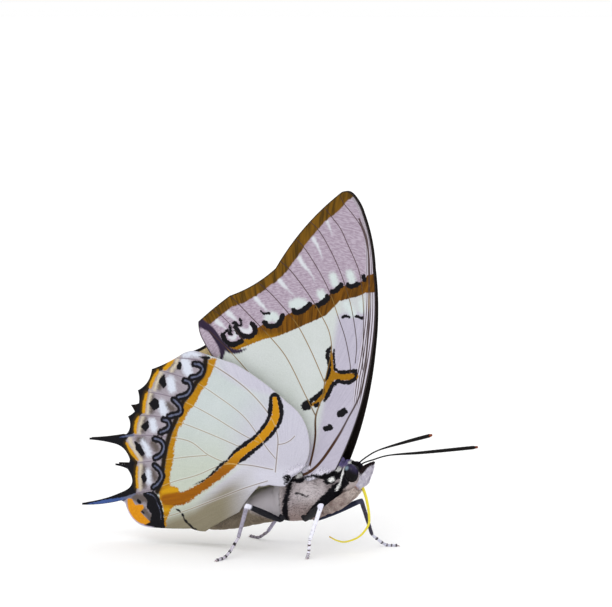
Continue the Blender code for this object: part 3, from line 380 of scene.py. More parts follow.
# Display colours of each leg: femur, knee, tibia, foot and the foot's dark rings
LEG_TONES = {
    "midleg_right": ((10, 9, 14), (224, 223, 240), (236, 236, 248), (236, 234, 246), (70, 46, 44)),
    "midleg_left": ((18, 22, 44), (60, 62, 84), (56, 52, 66), (204, 204, 220), (44, 34, 38)),
    "hindleg_right": ((10, 10, 18), (226, 226, 240), (154, 149, 166), (196, 190, 204), (22, 16, 20)),
    "hindleg_left": ((150, 140, 168), (190, 184, 204), (170, 164, 186), (150, 142, 156), (60, 50, 58)),
}
CLAW_LENGTH, CLAW_RADIUS, CLAW_SPREAD = 0.6, 0.11, 0.2
SPINE_LENGTH, SPINE_RADIUS, SPINE_LIFT = 0.3, 0.045, 0.1
SPINES_FROM_STAGE, SPINE_SIDES = 2.15, 5
FORELEG = [(4.9, 1.35, 8.0), (6.6, 1.75, 8.6), (8.2, 1.85, 9.7), (9.8, 1.7, 10.9), (11.0, 1.3, 11.9)]
FORELEG_RADII = [0.8, 1.0, 0.95, 0.8, 0.4]

# Tufts, length, width and lift off the skin of each coat, in millimetres, where they are the same all over
THORAX_TUFTS, THORAX_WIDTH = 17000, 0.2
HEAD_TUFTS, HEAD_WIDTH = 6000, 0.13
ABDOMEN_TUFTS, ABDOMEN_WIDTH, ABDOMEN_LIFT = 12000, 0.17, 0.1
PALP_TUFTS, PALP_LENGTH, PALP_WIDTH, PALP_LIFT = 4200, 0.5, 0.09, 0.2
FORELEG_TUFTS, FORELEG_LENGTH, FORELEG_WIDTH, FORELEG_LIFT = 4200, 0.6, 0.13, 0.16
ROOT_TUFTS, ROOT_LENGTH, ROOT_WIDTH, ROOT_LIFT = 1100, 0.5, 0.12, 0.06
TUFT_SCATTER = 0.22
TUFT_CORNERS = 7
UV_SPREAD = 0.0015

# Body markings in side view
BODY_BLACK = [
    ([(9.6, 13.2), (8.0, 12.4), (7.0, 11.2), (5.5, 9.5), (4.0, 8.1), (2.3, 6.7), (1.2, 5.6)],
     [0.5, 0.9, 1.0, 1.0, 0.9, 0.6, 0.4]),
    ([(-0.3, 14.2), (-0.6, 13.3), (-0.8, 12.0), (-1.2, 10.6), (-1.7, 8.3), (-2.0, 6.1)],
     [0.5, 0.5, 0.44, 0.55, 0.6, 0.6]),
    ([(-3.8, 13.6), (-2.6, 14.5), (-1.4, 14.0), (-0.4, 13.9), (0.6, 13.3), (1.6, 13.5), (2.6, 14.2),
      (4.1, 14.5), (5.2, 14.2), (6.4, 14.4)], [0.2, 0.3, 0.22, 0.5, 0.3, 0.42, 0.26, 0.28, 0.36, 0.6]),
    ([(0.5, 11.1), (1.7, 10.9), (2.9, 10.5)], [0.1, 0.16, 0.08]),
    ([(6.3, 15.6), (6.3, 13.6), (7.6, 14.6), (9.0, 14.4), (9.3, 12.9)], [0.6, 0.7, 0.9, 0.8, 0.5]),
    ([(10.1, 16.8), (11.2, 16.3), (12.1, 15.0)], [0.5, 0.6, 0.3]),
]
BODY_WHITE = [
    ([(7.8, 15.45), (7.95, 15.6)], 0.4), ([(6.8, 13.65), (7.0, 13.8)], 0.4),
    ([(9.6, 16.3), (9.75, 16.5)], 0.25),
    ([(9.2, 15.9), (8.7, 14.6), (8.2, 13.1), (7.6, 11.8)], [0.2, 0.24, 0.24, 0.16]),
    ([(3.2, 15.0), (3.6, 15.1)], 0.4), ([(0.9, 14.2), (1.4, 14.5)], 0.42),
    ([(-2.4, 13.6), (-1.8, 13.3)], 0.4),
]

# Wing veins that stay bare in the fur of the wings' roots
ROOT_STEMS = [
    ([(1.6, 14.5), (3, 14.7), (4.6, 16), (6, 17.6), (7.2, 19.4), (8.2, 21.1)], 0.3),
    ([(3.6, 16.2), (4, 17.9), (4.1, 20.5), (4.2, 23.4)], 0.22),
    ([(-2.8, 14.5), (-2.4, 15.9), (-2.6, 18.5), (-2.4, 20.6)], 0.14),
]


# Side-view geometry


def outline_points(corners, pitch):
    """Points round a wing and the corner that each follows, with each edge drawn as a flat arc."""
    points, after = [], []
    for k, (x, z, bulge) in enumerate(corners):
        next_x, next_z, _ = corners[(k + 1) % len(corners)]
        along_x, along_z = next_x - x, next_z - z
        chord = math.hypot(along_x, along_z)
        pieces = max(1, round(chord / pitch))
        for i in range(pieces):
            t = i / pieces
            out = 4.0 * bulge * t * (1.0 - t) / chord
            points.append((x + along_x * t + along_z * out, z + along_z * t - along_x * out))
            after.append(k)
    return np.array(points), np.array(after)


def closed(points):
    """A line's points with the first one again at the end."""
    return np.vstack([points, points[:1]])


def curve_through(points, steps):
    """A smooth curve through the given points, with the given numbers of steps in its spans."""
    p = np.array(points, float)
    padded = np.vstack([2 * p[0] - p[1], p, 2 * p[-1] - p[-2]])
    result = []
    for a, b, c, d, count in zip(padded, padded[1:], padded[2:], padded[3:], steps):
        for t in np.arange(count) / count:
            result.append(0.5 * (2 * b + (c - a) * t + (2 * a - 5 * b + 4 * c - d) * t * t
                                 + (3 * b - a - 3 * c + d) * t ** 3))
    result.append(p[-1])
    return np.array(result)


def spline(points, steps):
    """A smooth curve through the given points, with equal steps in each span."""
    return curve_through(points, [steps] * (len(points) - 1))


def smooth_line(points, pitch):
    """A smooth curve through the given points, with steps of about one pitch."""
    p = np.array(points, float)
    if len(p) == 2:
        count = max(2, int(np.linalg.norm(p[1] - p[0]) / pitch) + 1)
        return p[0] + (p[1] - p[0]) * np.linspace(0.0, 1.0, count)[:, None]
    return curve_through(p, [max(1, round(float(np.linalg.norm(c - b)) / pitch)) for b, c in zip(p, p[1:])])


def along_values(values, count):
    """Values spread evenly along a line and blended to the given count."""
    return np.interp(np.linspace(0.0, 1.0, count), np.linspace(0.0, 1.0, len(values)), values)


def line_distance(spots, line, widths=0.0):
    """Distance of each spot from an open line, less the line's half width there."""
    widths = np.broadcast_to(np.asarray(widths, float), len(line))
    best = np.full(len(spots), FAR)
    for a, b, wide_a, wide_b in zip(line, line[1:], widths, widths[1:]):
        a, b = np.asarray(a, float), np.asarray(b, float)
        run = b - a
        t = np.clip((spots - a) @ run / max(run @ run, 1e-12), 0.0, 1.0)
        gap = np.linalg.norm(spots - a - t[:, None] * run, axis=1) - (wide_a + (wide_b - wide_a) * t)
        best = np.minimum(best, gap)
    return best


def inside(spots, polygon):
    """Whether each spot lies inside a polygon."""
    result = np.zeros(len(spots), bool)
    x, z = spots[:, 0], spots[:, 1]
    for (ax, az), (bx, bz) in zip(polygon, np.roll(polygon, -1, axis=0)):
        if az == bz:
            continue
        crossing = (az > z) != (bz > z)
        result ^= crossing & (x < ax + (z - az) * (bx - ax) / (bz - az))
    return result


def area_distance(spots, polygon):
    """Distance of each spot from an area's edge, negative inside it."""
    polygon = np.asarray(polygon, float)
    edge = line_distance(spots, closed(polygon))
    return np.where(inside(spots, polygon), -edge, edge)


def marks_distance(spots, marks):
    """The smallest distance to any of the marks, each (line, half width or widths)."""
    best = np.full(len(spots), FAR)
    for line, widths in marks:
        curve = smooth_line(line, MARK_PITCH)
        if np.ndim(widths):
            widths = along_values(widths, len(curve))
        best = np.minimum(best, line_distance(spots, curve, widths))
    return best


def step(value, low, high):
    """Rises smoothly from 0 at low to 1 at high."""
    t = np.clip((value - low) / (high - low), 0.0, 1.0)
    return t * t * (3.0 - 2.0 * t)


def vein_rows(curve, half, outline):
    """Rows of spots along a vein and along both its flanks, inside a wing's outline."""
    ahead = np.gradient(curve, axis=0)
    across = np.stack([-ahead[:, 1], ahead[:, 0]], 1) / np.linalg.norm(ahead, axis=1)[:, None]
    rows = [curve + across * shift for shift in (-VEIN_FLANK * half, 0.0, VEIN_FLANK * half)]
    return [row[inside(row, outline)] for row in rows]


def even_spots(outline, keep_off):
    """An even grid of spots inside an outline, with room round the lines that have spots of their own."""
    low, high = outline.min(0), outline.max(0)
    rows = []
    for k, z in enumerate(np.arange(low[1], high[1], WING_PITCH * ROW_STEP)):
        x = np.arange(low[0] + 0.5 * WING_PITCH * (k % 2), high[0], WING_PITCH)
        rows.append(np.stack([x, np.full(len(x), z)], 1))
    grid = np.vstack(rows)
    grid = grid[inside(grid, outline)]
    for line, room in keep_off:
        grid = grid[line_distance(grid, line) > room]
    return grid


def wing_plan(corners, veins):
    """Spots and triangles of a wing in side view, with rows of spots along its edge and its veins."""
    outline, _ = outline_points(corners, MARGIN_PITCH)
    points = [Vector(p) for p in outline]
    edges = [(i, (i + 1) % len(outline)) for i in range(len(outline))]
    keep_off = [(closed(outline), 0.6 * WING_PITCH)]
    for half, line in veins:
        curve = smooth_line(line, VEIN_PITCH)
        for row in vein_rows(curve, half, outline):
            first = len(points)
            points += [Vector(p) for p in row]
            edges += [(first + i, first + i + 1) for i in range(len(row) - 1)
                      if np.linalg.norm(row[i + 1] - row[i]) < 2.0 * VEIN_PITCH]
        keep_off.append((curve, VEIN_FLANK * half + 0.45 * WING_PITCH))
    points += [Vector(p) for p in even_spots(outline, keep_off)]
    spots, _, triangles, *_ = delaunay_2d_cdt(points, edges, [], 0, 0.01)
    spots, triangles = np.array([tuple(p) for p in spots]), np.array(triangles)
    return spots, triangles[inside(spots[triangles].mean(1), outline)]


def set_attribute(mesh, name, values):
    """Stores one number for each vertex."""
    layer = mesh.attributes.new(name, "FLOAT", "POINT")
    layer.data.foreach_set("value", np.asarray(values, np.float32))


def face_outwards(mesh):
    """Turns the faces of closed shapes outwards."""
    work = bmesh.new()
    work.from_mesh(mesh)
    bmesh.ops.recalc_face_normals(work, faces=work.faces)
    work.to_mesh(mesh)
    work.free()


def border_edges(triangles):
    """The edges that belong to one triangle only."""
    border = {}
    for a, b, c in triangles:
        for edge in ((a, b), (b, c), (c, a)):
            if edge[::-1] in border:
                del border[edge[::-1]]
            else:
                border[edge] = True
    return border


def plate(name, spots, triangles, outer, inner, values):
    """A closed plate with an outer and an inner face over one plan, and the values stored on both faces."""
    used = np.unique(triangles)
    renumber = np.full(len(spots), -1)
    renumber[used] = np.arange(len(used))
    tri = renumber[triangles]
    count = len(used)
    faces = [tuple(t) for t in tri] + [(c + count, b + count, a + count) for a, b, c in tri]
    faces += [(b, a, a + count, b + count) for a, b in border_edges(tri)]
    mesh = bpy.data.meshes.new(name)
    verts = np.vstack([outer[used], inner[used]]) * MM
    mesh.from_pydata(verts, [], [tuple(int(i) for i in f) for f in faces])
    for key, value in values.items():
        set_attribute(mesh, key, np.tile(value[used], 2))
    set_attribute(mesh, "under", np.repeat([1.0, 0.0], count))
    face_outwards(mesh)
    mesh.shade_smooth()
    return mesh


def in_frame(x, y, z):
    """Points given on the source's axes in millimetres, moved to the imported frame."""
    return np.stack([x + ORIGIN.x, y + ORIGIN.y, z + ORIGIN.z], 1)


# Wings


def hinge_distance(spots):
    """Distance of each spot from the wing hinge in side view."""
    return np.hypot(spots[:, 0] - HINGE[0], spots[:, 1] - HINGE[1])


def wing_surface(spots, shape):
    """A wing's middle surface: distance from the body's middle plane."""
    tip_y, bow, bow_reach, power = shape
    return tip_y + bow * np.exp(-((hinge_distance(spots) / bow_reach) ** power))


def fore_marks(spots):
    """The forewing underside's markings as numbers for its material."""
    x, z = spots[:, 0], spots[:, 1]
    lilac = step(-area_distance(spots, FORE_OUTER), -0.3, 0.5)
    side_of_cell = step(x - np.interp(z, [14, 28, 35, 42, 48], [2.5, 4.6, 5.6, 6.6, 7.2]), 0.0, 1.6)
    basal = step(24.5 - z - 0.35 * x, 0.0, 5.0)
    costal = np.maximum(side_of_cell, basal) * (1.0 - lilac)
    pale_costal = step(-line_distance(spots, [(8.0, 44.8), (12.5, 45.6)]), -2.2, -1.0) * (1.0 - lilac)
    return {
        "black": marks_distance(spots, FORE_BLACK),
        "dusk": marks_distance(spots, FORE_TORNAL),
        "ochre": np.minimum(area_distance(spots, FORE_BAND), marks_distance(spots, FORE_Y_OCHRE)),
        "brown": area_distance(spots, FORE_MARGIN_WIDTH),
        "white": marks_distance(spots, FORE_WHITE),
        "cloud": marks_distance(spots, FORE_CLOUD),
        "lilac": lilac,
        "basal": np.clip(costal - 0.75 * pale_costal, 0.0, 1.0),
        "deep": step(z, 38.0, 40.0),
    }


def hind_marks(spots):
    """The hindwing underside's markings as numbers for its material, with painted shade on the fold round the
    abdomen.
    """
    x, z = spots[:, 0], spots[:, 1]
    bar = marks_distance(spots, [HIND_BAR])
    spot_areas = np.min([area_distance(spots, area) for area in HIND_SPOTS], axis=0)
    black = marks_distance(spots, HIND_BLACK + [(line, LUNULE_BLACK) for line in HIND_LUNULES])
    black = np.minimum(np.minimum(black, spot_areas - SPOT_GROWTH), area_distance(spots, HIND_RIM))
    bar_edge = marks_distance(spots, [HIND_BAR_EDGE])
    black = np.where(bar < 0.0, np.maximum(-bar, 0.02), np.minimum(black, bar_edge))
    past_band = area_distance(spots, HIND_BAND_EDGE + [(-27, 2), (-45, 2), (-45, 36), (-16, 38)])
    lilac = step(-past_band, -0.2, 0.4)
    basal = step(14.0 - np.hypot(x + 1.0, 0.8 * (z - 17.0)), 0.0, 9.0)
    below = np.interp(x, [-26, -24, -19, -12, -4], [6.0, 7.0, 9.0, 14.0, 20.0]) - z
    basal = np.maximum(basal, 0.9 * step(below, -0.3, 1.2) * step(x, -22.0, -13.0))
    front = step(z - np.interp(x, [-16, -9, -3, 2], [32.3, 28.9, 27.6, 22.0]), -0.5, 1.5)
    return {
        "black": black,
        "dusk": line_distance(spots, smooth_line(HIND_BAND_EDGE, 0.4), 0.42),
        "ochre": np.minimum(area_distance(spots, HIND_BAND), bar),
        "brown": marks_distance(spots, HIND_YELLOW),
        "cream": marks_distance(spots, HIND_CREAM),
        "orange": area_distance(spots, HIND_LOBE),
        "shade": marks_distance(spots, HIND_SHADE),
        "white": marks_distance(spots, HIND_WHITE),
        "bright": marks_distance(spots, HIND_BRIGHT),
        "lilac": lilac,
        "basal": np.maximum(basal, front * step(x, -18.0, -12.0)),
        # painted shade on the fold, darker towards the lower inner edge where the wing curls round the
        # abdomen
        "tan": step(below, 0.2, 3.4) * step(-x, 5.0, 14.0) * (1.0 - lilac),
        "blue": marks_distance(spots, [(line, LUNULE_BLUE) for line in HIND_LUNULES] + HIND_BLUE),
        "deep": step(-bar, -0.25, 0.1),
    }


def dress_wing(name, side, corners, veins, shape, front_edges, marks, material):
    """One wing of membrane, raised veins and markings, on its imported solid's surface."""
    spots, triangles = wing_plan(corners, veins)
    x, z = spots.T
    outline, after = outline_points(corners, MARGIN_PITCH)
    rim = line_distance(spots, closed(outline))
    vein = np.full(len(spots), FAR)
    for half, line in veins:
        vein = np.minimum(vein, line_distance(spots, smooth_line(line, VEIN_PITCH)) / half)
    rise = VEIN_RISE * np.clip(1.0 - vein / VEIN_FLANK, 0.0, 1.0) ** 0.7 * step(rim, 0.0, 0.5)
    pleat = PLEAT_DEPTH * (1.0 - np.exp(-np.minimum(vein * 0.1, 9.0) / 1.1)) * step(rim, 0.0, 2.0)
    middle = wing_surface(spots, shape) - 0.5 * PLEAT_DEPTH + pleat
    half = EDGE_HALF + (MEMBRANE_HALF - EDGE_HALF) * step(rim, 0.0, 0.8)
    outer = in_frame(x, side * (middle + half + rise), z)
    inner = in_frame(x, side * (middle - half - rise), z)
    front = line_distance(spots, outline[after < front_edges])
    bearing = np.arctan2(z - HINGE[1], -(x - HINGE[0])) * BEARING_SCALE
    values = dict(marks(spots), vein=vein, rim=rim, front=front, strip=front / np.interp(z, *COSTAL_STRIP),
                  reach=hinge_distance(spots), bearing=bearing, height=z)
    mesh = plate(f"{name}_skin", spots, triangles, outer, inner, values)
    add_piece(f"{name}_skin", mesh, material, (name,))


# Materials


class Paint:
    """Builds one Principled material from linked nodes."""

    def __init__(self, name, roughness):
        self.material = bpy.data.materials.new(name)
        self.material.use_nodes = True
        self.tree = self.material.node_tree
        self.shader = self.tree.nodes["Principled BSDF"]
        self.shader.inputs["Roughness"].default_value = roughness

    def put(self, kind, inputs, output=0, **settings):
        """Adds a node, sets or links its inputs and returns one output."""
        node = self.tree.nodes.new(kind)
        for key, value in settings.items():
            setattr(node, key, value)
        for key, value in inputs.items():
            if isinstance(value, bpy.types.NodeSocket):
                self.tree.links.new(value, node.inputs[key])
            else:
                node.inputs[key].default_value = value
        return node.outputs[output]

    def attribute(self, name):
        """A number stored on the mesh."""
        return self.put("ShaderNodeAttribute", {}, "Fac", attribute_name=name)

    def maths(self, operation, a, b=0.0):
        """A sum, product or other operation on two numbers."""
        return self.put("ShaderNodeMath", {0: a, 1: b}, 0, operation=operation)

    def add(self, a, b):
        """The sum of two numbers."""
        return self.maths("ADD", a, b)

    def less(self, a, b):
        """The first number less the second."""
        return self.maths("SUBTRACT", a, b)

    def times(self, a, b):
        """The product of two numbers."""
        return self.maths("MULTIPLY", a, b)

    def rise(self, value, low, high):
        """0 below low and 1 above high, smooth between."""
        return self.put("ShaderNodeMapRange", {0: value, 1: low, 2: high, 3: 0.0, 4: 1.0}, 0,
                        interpolation_type="SMOOTHSTEP", clamp=True)

    def inverse(self, value):
        """One less the value."""
        return self.less(1.0, value)

    def fall(self, value, low, high):
        """1 below low and 0 above high, smooth between."""
        return self.inverse(self.rise(value, low, high))

    def mix(self, amount, a, b):
        """Blends two colours."""
        return self.put("ShaderNodeMix", {0: amount, 6: a, 7: b}, 2, data_type="RGBA", clamp_factor=True)

    def lay(self, ground, distance, colour, low, high, strength=1.0):
        """Lays a colour over the ground where a distance is negative, with an edge from low to high."""
        amount = self.fall(distance, low, high)
        if strength != 1.0:
            amount = self.times(amount, strength)
        return self.mix(amount, ground, colour)

    def dim(self, colour, amount):
        """A colour times a number."""
        grey = self.put("ShaderNodeCombineColor", {0: amount, 1: amount, 2: amount}, 0)
        inputs = {0: 1.0, 6: colour, 7: grey}
        return self.put("ShaderNodeMix", inputs, 2, data_type="RGBA", blend_type="MULTIPLY")

    def noise(self, scale, detail=2.0, vector=None, rough=0.5):
        """Cloudy noise from 0 to 1, in object space unless a vector is given."""
        inputs = {"Scale": scale, "Detail": detail, "Roughness": rough}
        inputs["Vector"] = vector if vector is not None else self.place()
        return self.put("ShaderNodeTexNoise", inputs, 0)

    def place(self):
        """The object's own coordinates."""
        return self.put("ShaderNodeTexCoord", {}, "Object")

    def vector(self, x, y, z=0.0):
        """A vector from three numbers."""
        return self.put("ShaderNodeCombineXYZ", {0: x, 1: y, 2: z}, 0)

    def bump(self, height, strength, distance):
        """Relief from a height."""
        return self.put("ShaderNodeBump", {"Strength": strength, "Distance": distance, "Height": height}, 0)

    def relief(self, scale, detail, strength, distance):
        """Gives the surface a fine noisy relief."""
        self.connect("Normal", self.bump(self.noise(scale, detail), strength, distance))

    def colour(self, value):
        """Sets the surface's colour."""
        self.tree.links.new(value, self.shader.inputs["Base Color"])

    def connect(self, name, value):
        """Links a value to one of the shader's inputs."""
        self.tree.links.new(value, self.shader.inputs[name])


def rgb(red, green, blue):
    """A display colour from 0 to 255 as linear values."""
    return tuple(((c / 255.0) / 12.92 if c < 11 else ((c / 255.0 + 0.055) / 1.055) ** 2.4)
                 for c in (red, green, blue)) + (1.0,)


def wing_textures(paint, value):
    """Noise in several grains: along the wing's rays, across them, in scales and in clouds."""
    bearing, reach = value["bearing"], value["reach"]
    rays = paint.vector(paint.times(bearing, 2.2), paint.times(reach, 0.16))
    rows = paint.vector(paint.times(bearing, 1.5), paint.times(reach, 4.2))
    streaks, scales = paint.noise(1.0, 3.0, rays), paint.noise(2600.0, 3.0)
    return {
        "streaks": streaks,
        "rows": paint.noise(1.0, 3.0, rows),
        "scales": scales,
        "grain": paint.noise(5200.0, 2.0),
        "cloud": paint.noise(160.0, 2.0),
        "ragged": paint.times(paint.less(scales, 0.5), 0.5),
        "comb": paint.times(paint.less(streaks, 0.5), 1.1),
    }


def fore_ground(paint, value, grain):
    """The forewing underside's ground: pale disc, lilac zones, white marks and the striped front edge."""
    add, times = paint.add, paint.times
    disc = paint.mix(grain["cloud"], rgb(202, 209, 204), rgb(217, 222, 223))
    basal = paint.mix(grain["streaks"], rgb(170, 163, 186), rgb(208, 202, 219))
    ground = paint.mix(times(value["basal"], 0.9), disc, basal)
    ripples = paint.rise(grain["rows"], 0.36, 0.66)
    distal = paint.mix(ripples, rgb(166, 149, 166), rgb(194, 180, 196))
    ground = paint.mix(value["lilac"], ground, distal)
    clouds = add(value["cloud"], times(grain["ragged"], 1.8))
    ground = paint.lay(ground, clouds, rgb(214, 224, 224), -0.5, 0.45)
    whites = add(value["white"], add(times(grain["ragged"], 1.0), 0.08))
    ground = paint.lay(ground, whites, rgb(220, 223, 230), -0.3, 0.26)
    wave = paint.maths("ABSOLUTE", paint.less(paint.maths("FRACT", times(value["strip"], 5.0)), 0.5))
    zone = times(paint.fall(value["strip"], 0.95, 1.15), paint.rise(value["height"], 24.0, 30.0))
    ground = paint.mix(times(zone, 0.6), ground, rgb(226, 220, 232))
    return paint.mix(times(zone, paint.fall(wave, 0.12, 0.26)), ground, rgb(66, 46, 46))


def fore_bands(paint, value, grain, ground):
    """The forewing underside's ochre, brown and black markings over its ground."""
    add, times = paint.add, paint.times
    ochre = paint.mix(paint.rise(grain["streaks"], 0.3, 0.7), rgb(74, 44, 0), rgb(130, 82, 4))
    pale_ochre = paint.mix(grain["scales"], rgb(138, 92, 2), rgb(182, 128, 12))
    ochre = paint.mix(paint.inverse(value["deep"]), ochre, pale_ochre)
    ground = paint.lay(ground, add(value["ochre"], times(grain["comb"], 0.45)), ochre, -0.1, 0.1)
    margin = paint.mix(paint.rise(grain["streaks"], 0.3, 0.66), rgb(72, 50, 4), rgb(124, 86, 10))
    ground = paint.lay(ground, add(value["brown"], times(grain["comb"], 0.5)), margin, -0.14, 0.14)
    dusk = paint.mix(grain["streaks"], rgb(22, 14, 30), rgb(66, 50, 78))
    ground = paint.lay(ground, add(value["dusk"], times(grain["comb"], 0.6)), dusk, -0.2, 0.25)
    jagged = times(paint.less(paint.noise(1500.0, 3.0, None, 0.7), 0.5), 0.9)
    black = paint.mix(grain["scales"], rgb(4, 4, 8), rgb(18, 15, 22))
    return paint.lay(ground, add(value["black"], add(jagged, -0.05)), black, -0.07, 0.08)


def fore_under(paint, value, grain):
    """The forewing's underside, from its ground to its veins and dark edge."""
    times = paint.times
    ground = fore_bands(paint, value, grain, fore_ground(paint, value, grain))
    veins = paint.fall(value["vein"], 0.45, 1.1)
    tone = paint.mix(value["basal"], rgb(140, 108, 52), rgb(66, 50, 46))
    tone = paint.mix(value["lilac"], tone, rgb(72, 52, 48))
    ground = paint.mix(times(veins, 0.9), ground, tone)
    stem = times(paint.fall(value["vein"], 1.0, 1.5), paint.fall(value["reach"], 9.0, 15.0))
    ground = paint.mix(stem, ground, paint.mix(grain["scales"], rgb(44, 28, 22), rgb(92, 60, 40)))
    edge = paint.fall(value["front"], 0.06, 0.2)
    ground = paint.mix(times(edge, 0.92), ground, rgb(20, 14, 14))
    line = paint.fall(value["rim"], 0.08, 0.3)
    return paint.mix(times(line, 0.8), ground, rgb(34, 24, 20))


def hind_ground(paint, value, grain):
    """The hindwing underside's ground: pale green disc, lilac base with a painted highlight near the root,
    painted brownish shade on the fold and mottled outer zone.
    """
    add, times = paint.add, paint.times
    low = paint.fall(value["height"], 12.0, 26.0)
    disc = paint.mix(grain["cloud"], rgb(192, 203, 202), rgb(214, 221, 222))
    low_disc = paint.mix(grain["streaks"], rgb(192, 202, 184), rgb(208, 213, 196))
    disc = paint.mix(times(low, 0.8), disc, low_disc)
    basal = paint.mix(grain["streaks"], rgb(186, 182, 202), rgb(220, 217, 231))
    ground = paint.mix(times(value["basal"], 0.9), disc, basal)
    # painted highlight: the basal fold near the root paler, as where the light falls on it
    near = times(paint.rise(value["height"], 10.6, 12.8), paint.fall(value["height"], 14.4, 17.0))
    near = times(times(near, paint.fall(value["reach"], 8.0, 14.0)), 0.3)
    ground = paint.mix(near, ground, rgb(238, 239, 252))
    # painted brownish shade on the fold round the abdomen
    fold = paint.mix(grain["streaks"], rgb(134, 126, 104), rgb(150, 142, 120))
    ground = paint.mix(times(value["tan"], paint.inverse(near)), ground, fold)
    outer_zone = paint.mix(grain["streaks"], rgb(140, 131, 138), rgb(188, 180, 192))
    ground = paint.mix(value["lilac"], ground, outer_zone)
    for key, depth, tone, low, high, strength in (("shade", 1.6, (96, 86, 82), -0.2, 0.95, 0.95),
                                                  ("white", 2.2, (222, 228, 242), -0.4, 0.6, 1.0),
                                                  ("cream", 1.6, (214, 203, 184), -0.3, 0.5, 1.0)):
        distance = add(value[key], times(grain["ragged"], depth))
        ground = paint.lay(ground, distance, rgb(*tone), low, high, strength)
    return ground


def hind_bands(paint, value, grain, ground):
    """The hindwing underside's veins with painted highlights beside them, ochre band and bar over its ground.
    """
    add, times = paint.add, paint.times
    veins = paint.fall(value["vein"], 0.5, 1.2)
    # painted highlight: pale lines beside the veins, outside the lilac zone
    vein_highlight = times(paint.fall(value["vein"], 1.4, 3.2), 0.35)
    ground = paint.mix(times(vein_highlight, paint.inverse(value["lilac"])), ground, rgb(232, 232, 234))
    tone = paint.mix(value["basal"], rgb(156, 140, 104), rgb(122, 100, 84))
    tone = paint.mix(value["lilac"], tone, rgb(128, 114, 130))
    ground = paint.mix(times(veins, 0.7), ground, tone)
    dusk = paint.mix(grain["scales"], rgb(24, 18, 10), rgb(54, 38, 16))
    ground = paint.lay(ground, add(value["dusk"], times(grain["ragged"], 0.8)), dusk, -0.2, 0.36)
    band = paint.mix(grain["streaks"], rgb(158, 104, 2), rgb(206, 148, 14))
    bar = paint.mix(grain["streaks"], rgb(128, 70, 0), rgb(180, 110, 4))
    bar = paint.mix(paint.rise(value["height"], 14.2, 18.5), bar, rgb(204, 142, 14))
    band = paint.mix(value["deep"], band, bar)
    band = paint.lay(band, value["bright"], rgb(214, 158, 14), -0.3, 0.4)
    band = paint.mix(times(veins, 0.6), band, rgb(214, 180, 112))
    ground = paint.lay(ground, add(value["ochre"], times(grain["ragged"], 1.9)), band, -0.16, 0.2)
    return paint.lay(ground, value["dusk"], rgb(30, 20, 6), -0.3, 0.3, 0.95)


def hind_under(paint, value, grain):
    """The hindwing's underside, from its ground to its black, yellow, orange and blue marks."""
    add, times = paint.add, paint.times
    ground = hind_bands(paint, value, grain, hind_ground(paint, value, grain))
    black = paint.mix(grain["scales"], rgb(4, 4, 9), rgb(18, 16, 24))
    black = paint.mix(paint.fall(value["brown"], 0.0, 0.75), black, rgb(66, 48, 8))
    rough = times(paint.less(paint.noise(1700.0, 3.0, None, 0.7), 0.5), 0.7)
    ground = paint.lay(ground, add(value["black"], rough), black, -0.1, 0.12)
    yellow = paint.mix(grain["scales"], rgb(186, 124, 2), rgb(236, 178, 22))
    ground = paint.lay(ground, add(value["brown"], times(grain["ragged"], 1.0)), yellow, -0.2, 0.14)
    orange = paint.mix(grain["scales"], rgb(214, 132, 6), rgb(240, 166, 28))
    ground = paint.lay(ground, add(value["orange"], times(grain["ragged"], 0.6)), orange, -0.1, 0.14)
    blue = paint.mix(paint.rise(value["reach"], 33.0, 36.0), rgb(104, 110, 136), rgb(66, 92, 154))
    ground = paint.lay(ground, add(value["blue"], times(rough, 0.6)), blue, -0.12, 0.12)
    fringe = times(paint.fall(value["rim"], 0.14, 0.3), paint.fall(value["height"], 7.2, 7.8))
    fringe = times(fringe, paint.rise(value["reach"], 29.5, 30.5))
    fringe = times(fringe, paint.fall(value["reach"], 34.2, 34.8))
    return paint.mix(times(fringe, 0.85), ground, rgb(214, 204, 228))


def wing_material(kind):
    """Scaled membrane with its markings, shared by both wings of a pair."""
    hind = kind == "hindwing"
    paint = Paint(f"{kind}_scales", 0.62)
    keys = ["black", "ochre", "brown", "white", "lilac", "basal", "dusk", "deep", "vein", "rim", "under",
            "reach", "bearing", "front"]
    keys += ["cream", "orange", "shade", "bright", "tan", "blue"] if hind else ["cloud", "strip"]
    value = {key: paint.attribute(key) for key in keys + ["height"]}
    grain = wing_textures(paint, value)
    ground = (hind_under if hind else fore_under)(paint, value, grain)
    tone = paint.mix(value["under"], upper_side(paint, value, grain, hind), ground)
    paint.colour(paint.dim(tone, paint.add(0.7, paint.times(grain["grain"], 0.22))))
    height = paint.add(paint.times(grain["rows"], 0.7), paint.times(grain["grain"], 0.5))
    paint.connect("Normal", paint.bump(height, 0.4, 0.00007))
    paint.shader.inputs["Specular IOR Level"].default_value = 0.12
    return paint.material


def upper_side(paint, value, grain, hind):
    """The colour of a wing's inner face: cream, black towards the tip, the front edge and the tails."""
    cream = paint.mix(grain["streaks"], rgb(240, 236, 208), rgb(255, 252, 232))
    dark = paint.mix(grain["streaks"], rgb(9, 7, 9), rgb(40, 30, 26))
    reach = paint.add(value["reach"], grain["comb"])
    if hind:
        spots = paint.times(paint.rise(value["rim"], 0.45, 0.65), paint.fall(value["rim"], 1.5, 1.8))
        spots = paint.times(spots, paint.fall(reach, 32.6, 33.2))
        amount = paint.less(paint.rise(reach, 27.2, 28.2), spots)
        rim = paint.times(paint.fall(value["rim"], 0.3, 0.5), paint.rise(reach, 24.0, 25.0))
        cream = paint.mix(paint.rise(reach, 25.0, 27.0), cream, rgb(255, 232, 178))
        return paint.mix(paint.maths("MAXIMUM", amount, rim), cream, dark)
    amount = paint.rise(reach, 25.5, 27.0)
    front = paint.add(value["front"], paint.times(grain["comb"], 0.8))
    return paint.mix(paint.maths("MAXIMUM", amount, paint.fall(front, 4.4, 5.4)), cream, dark)


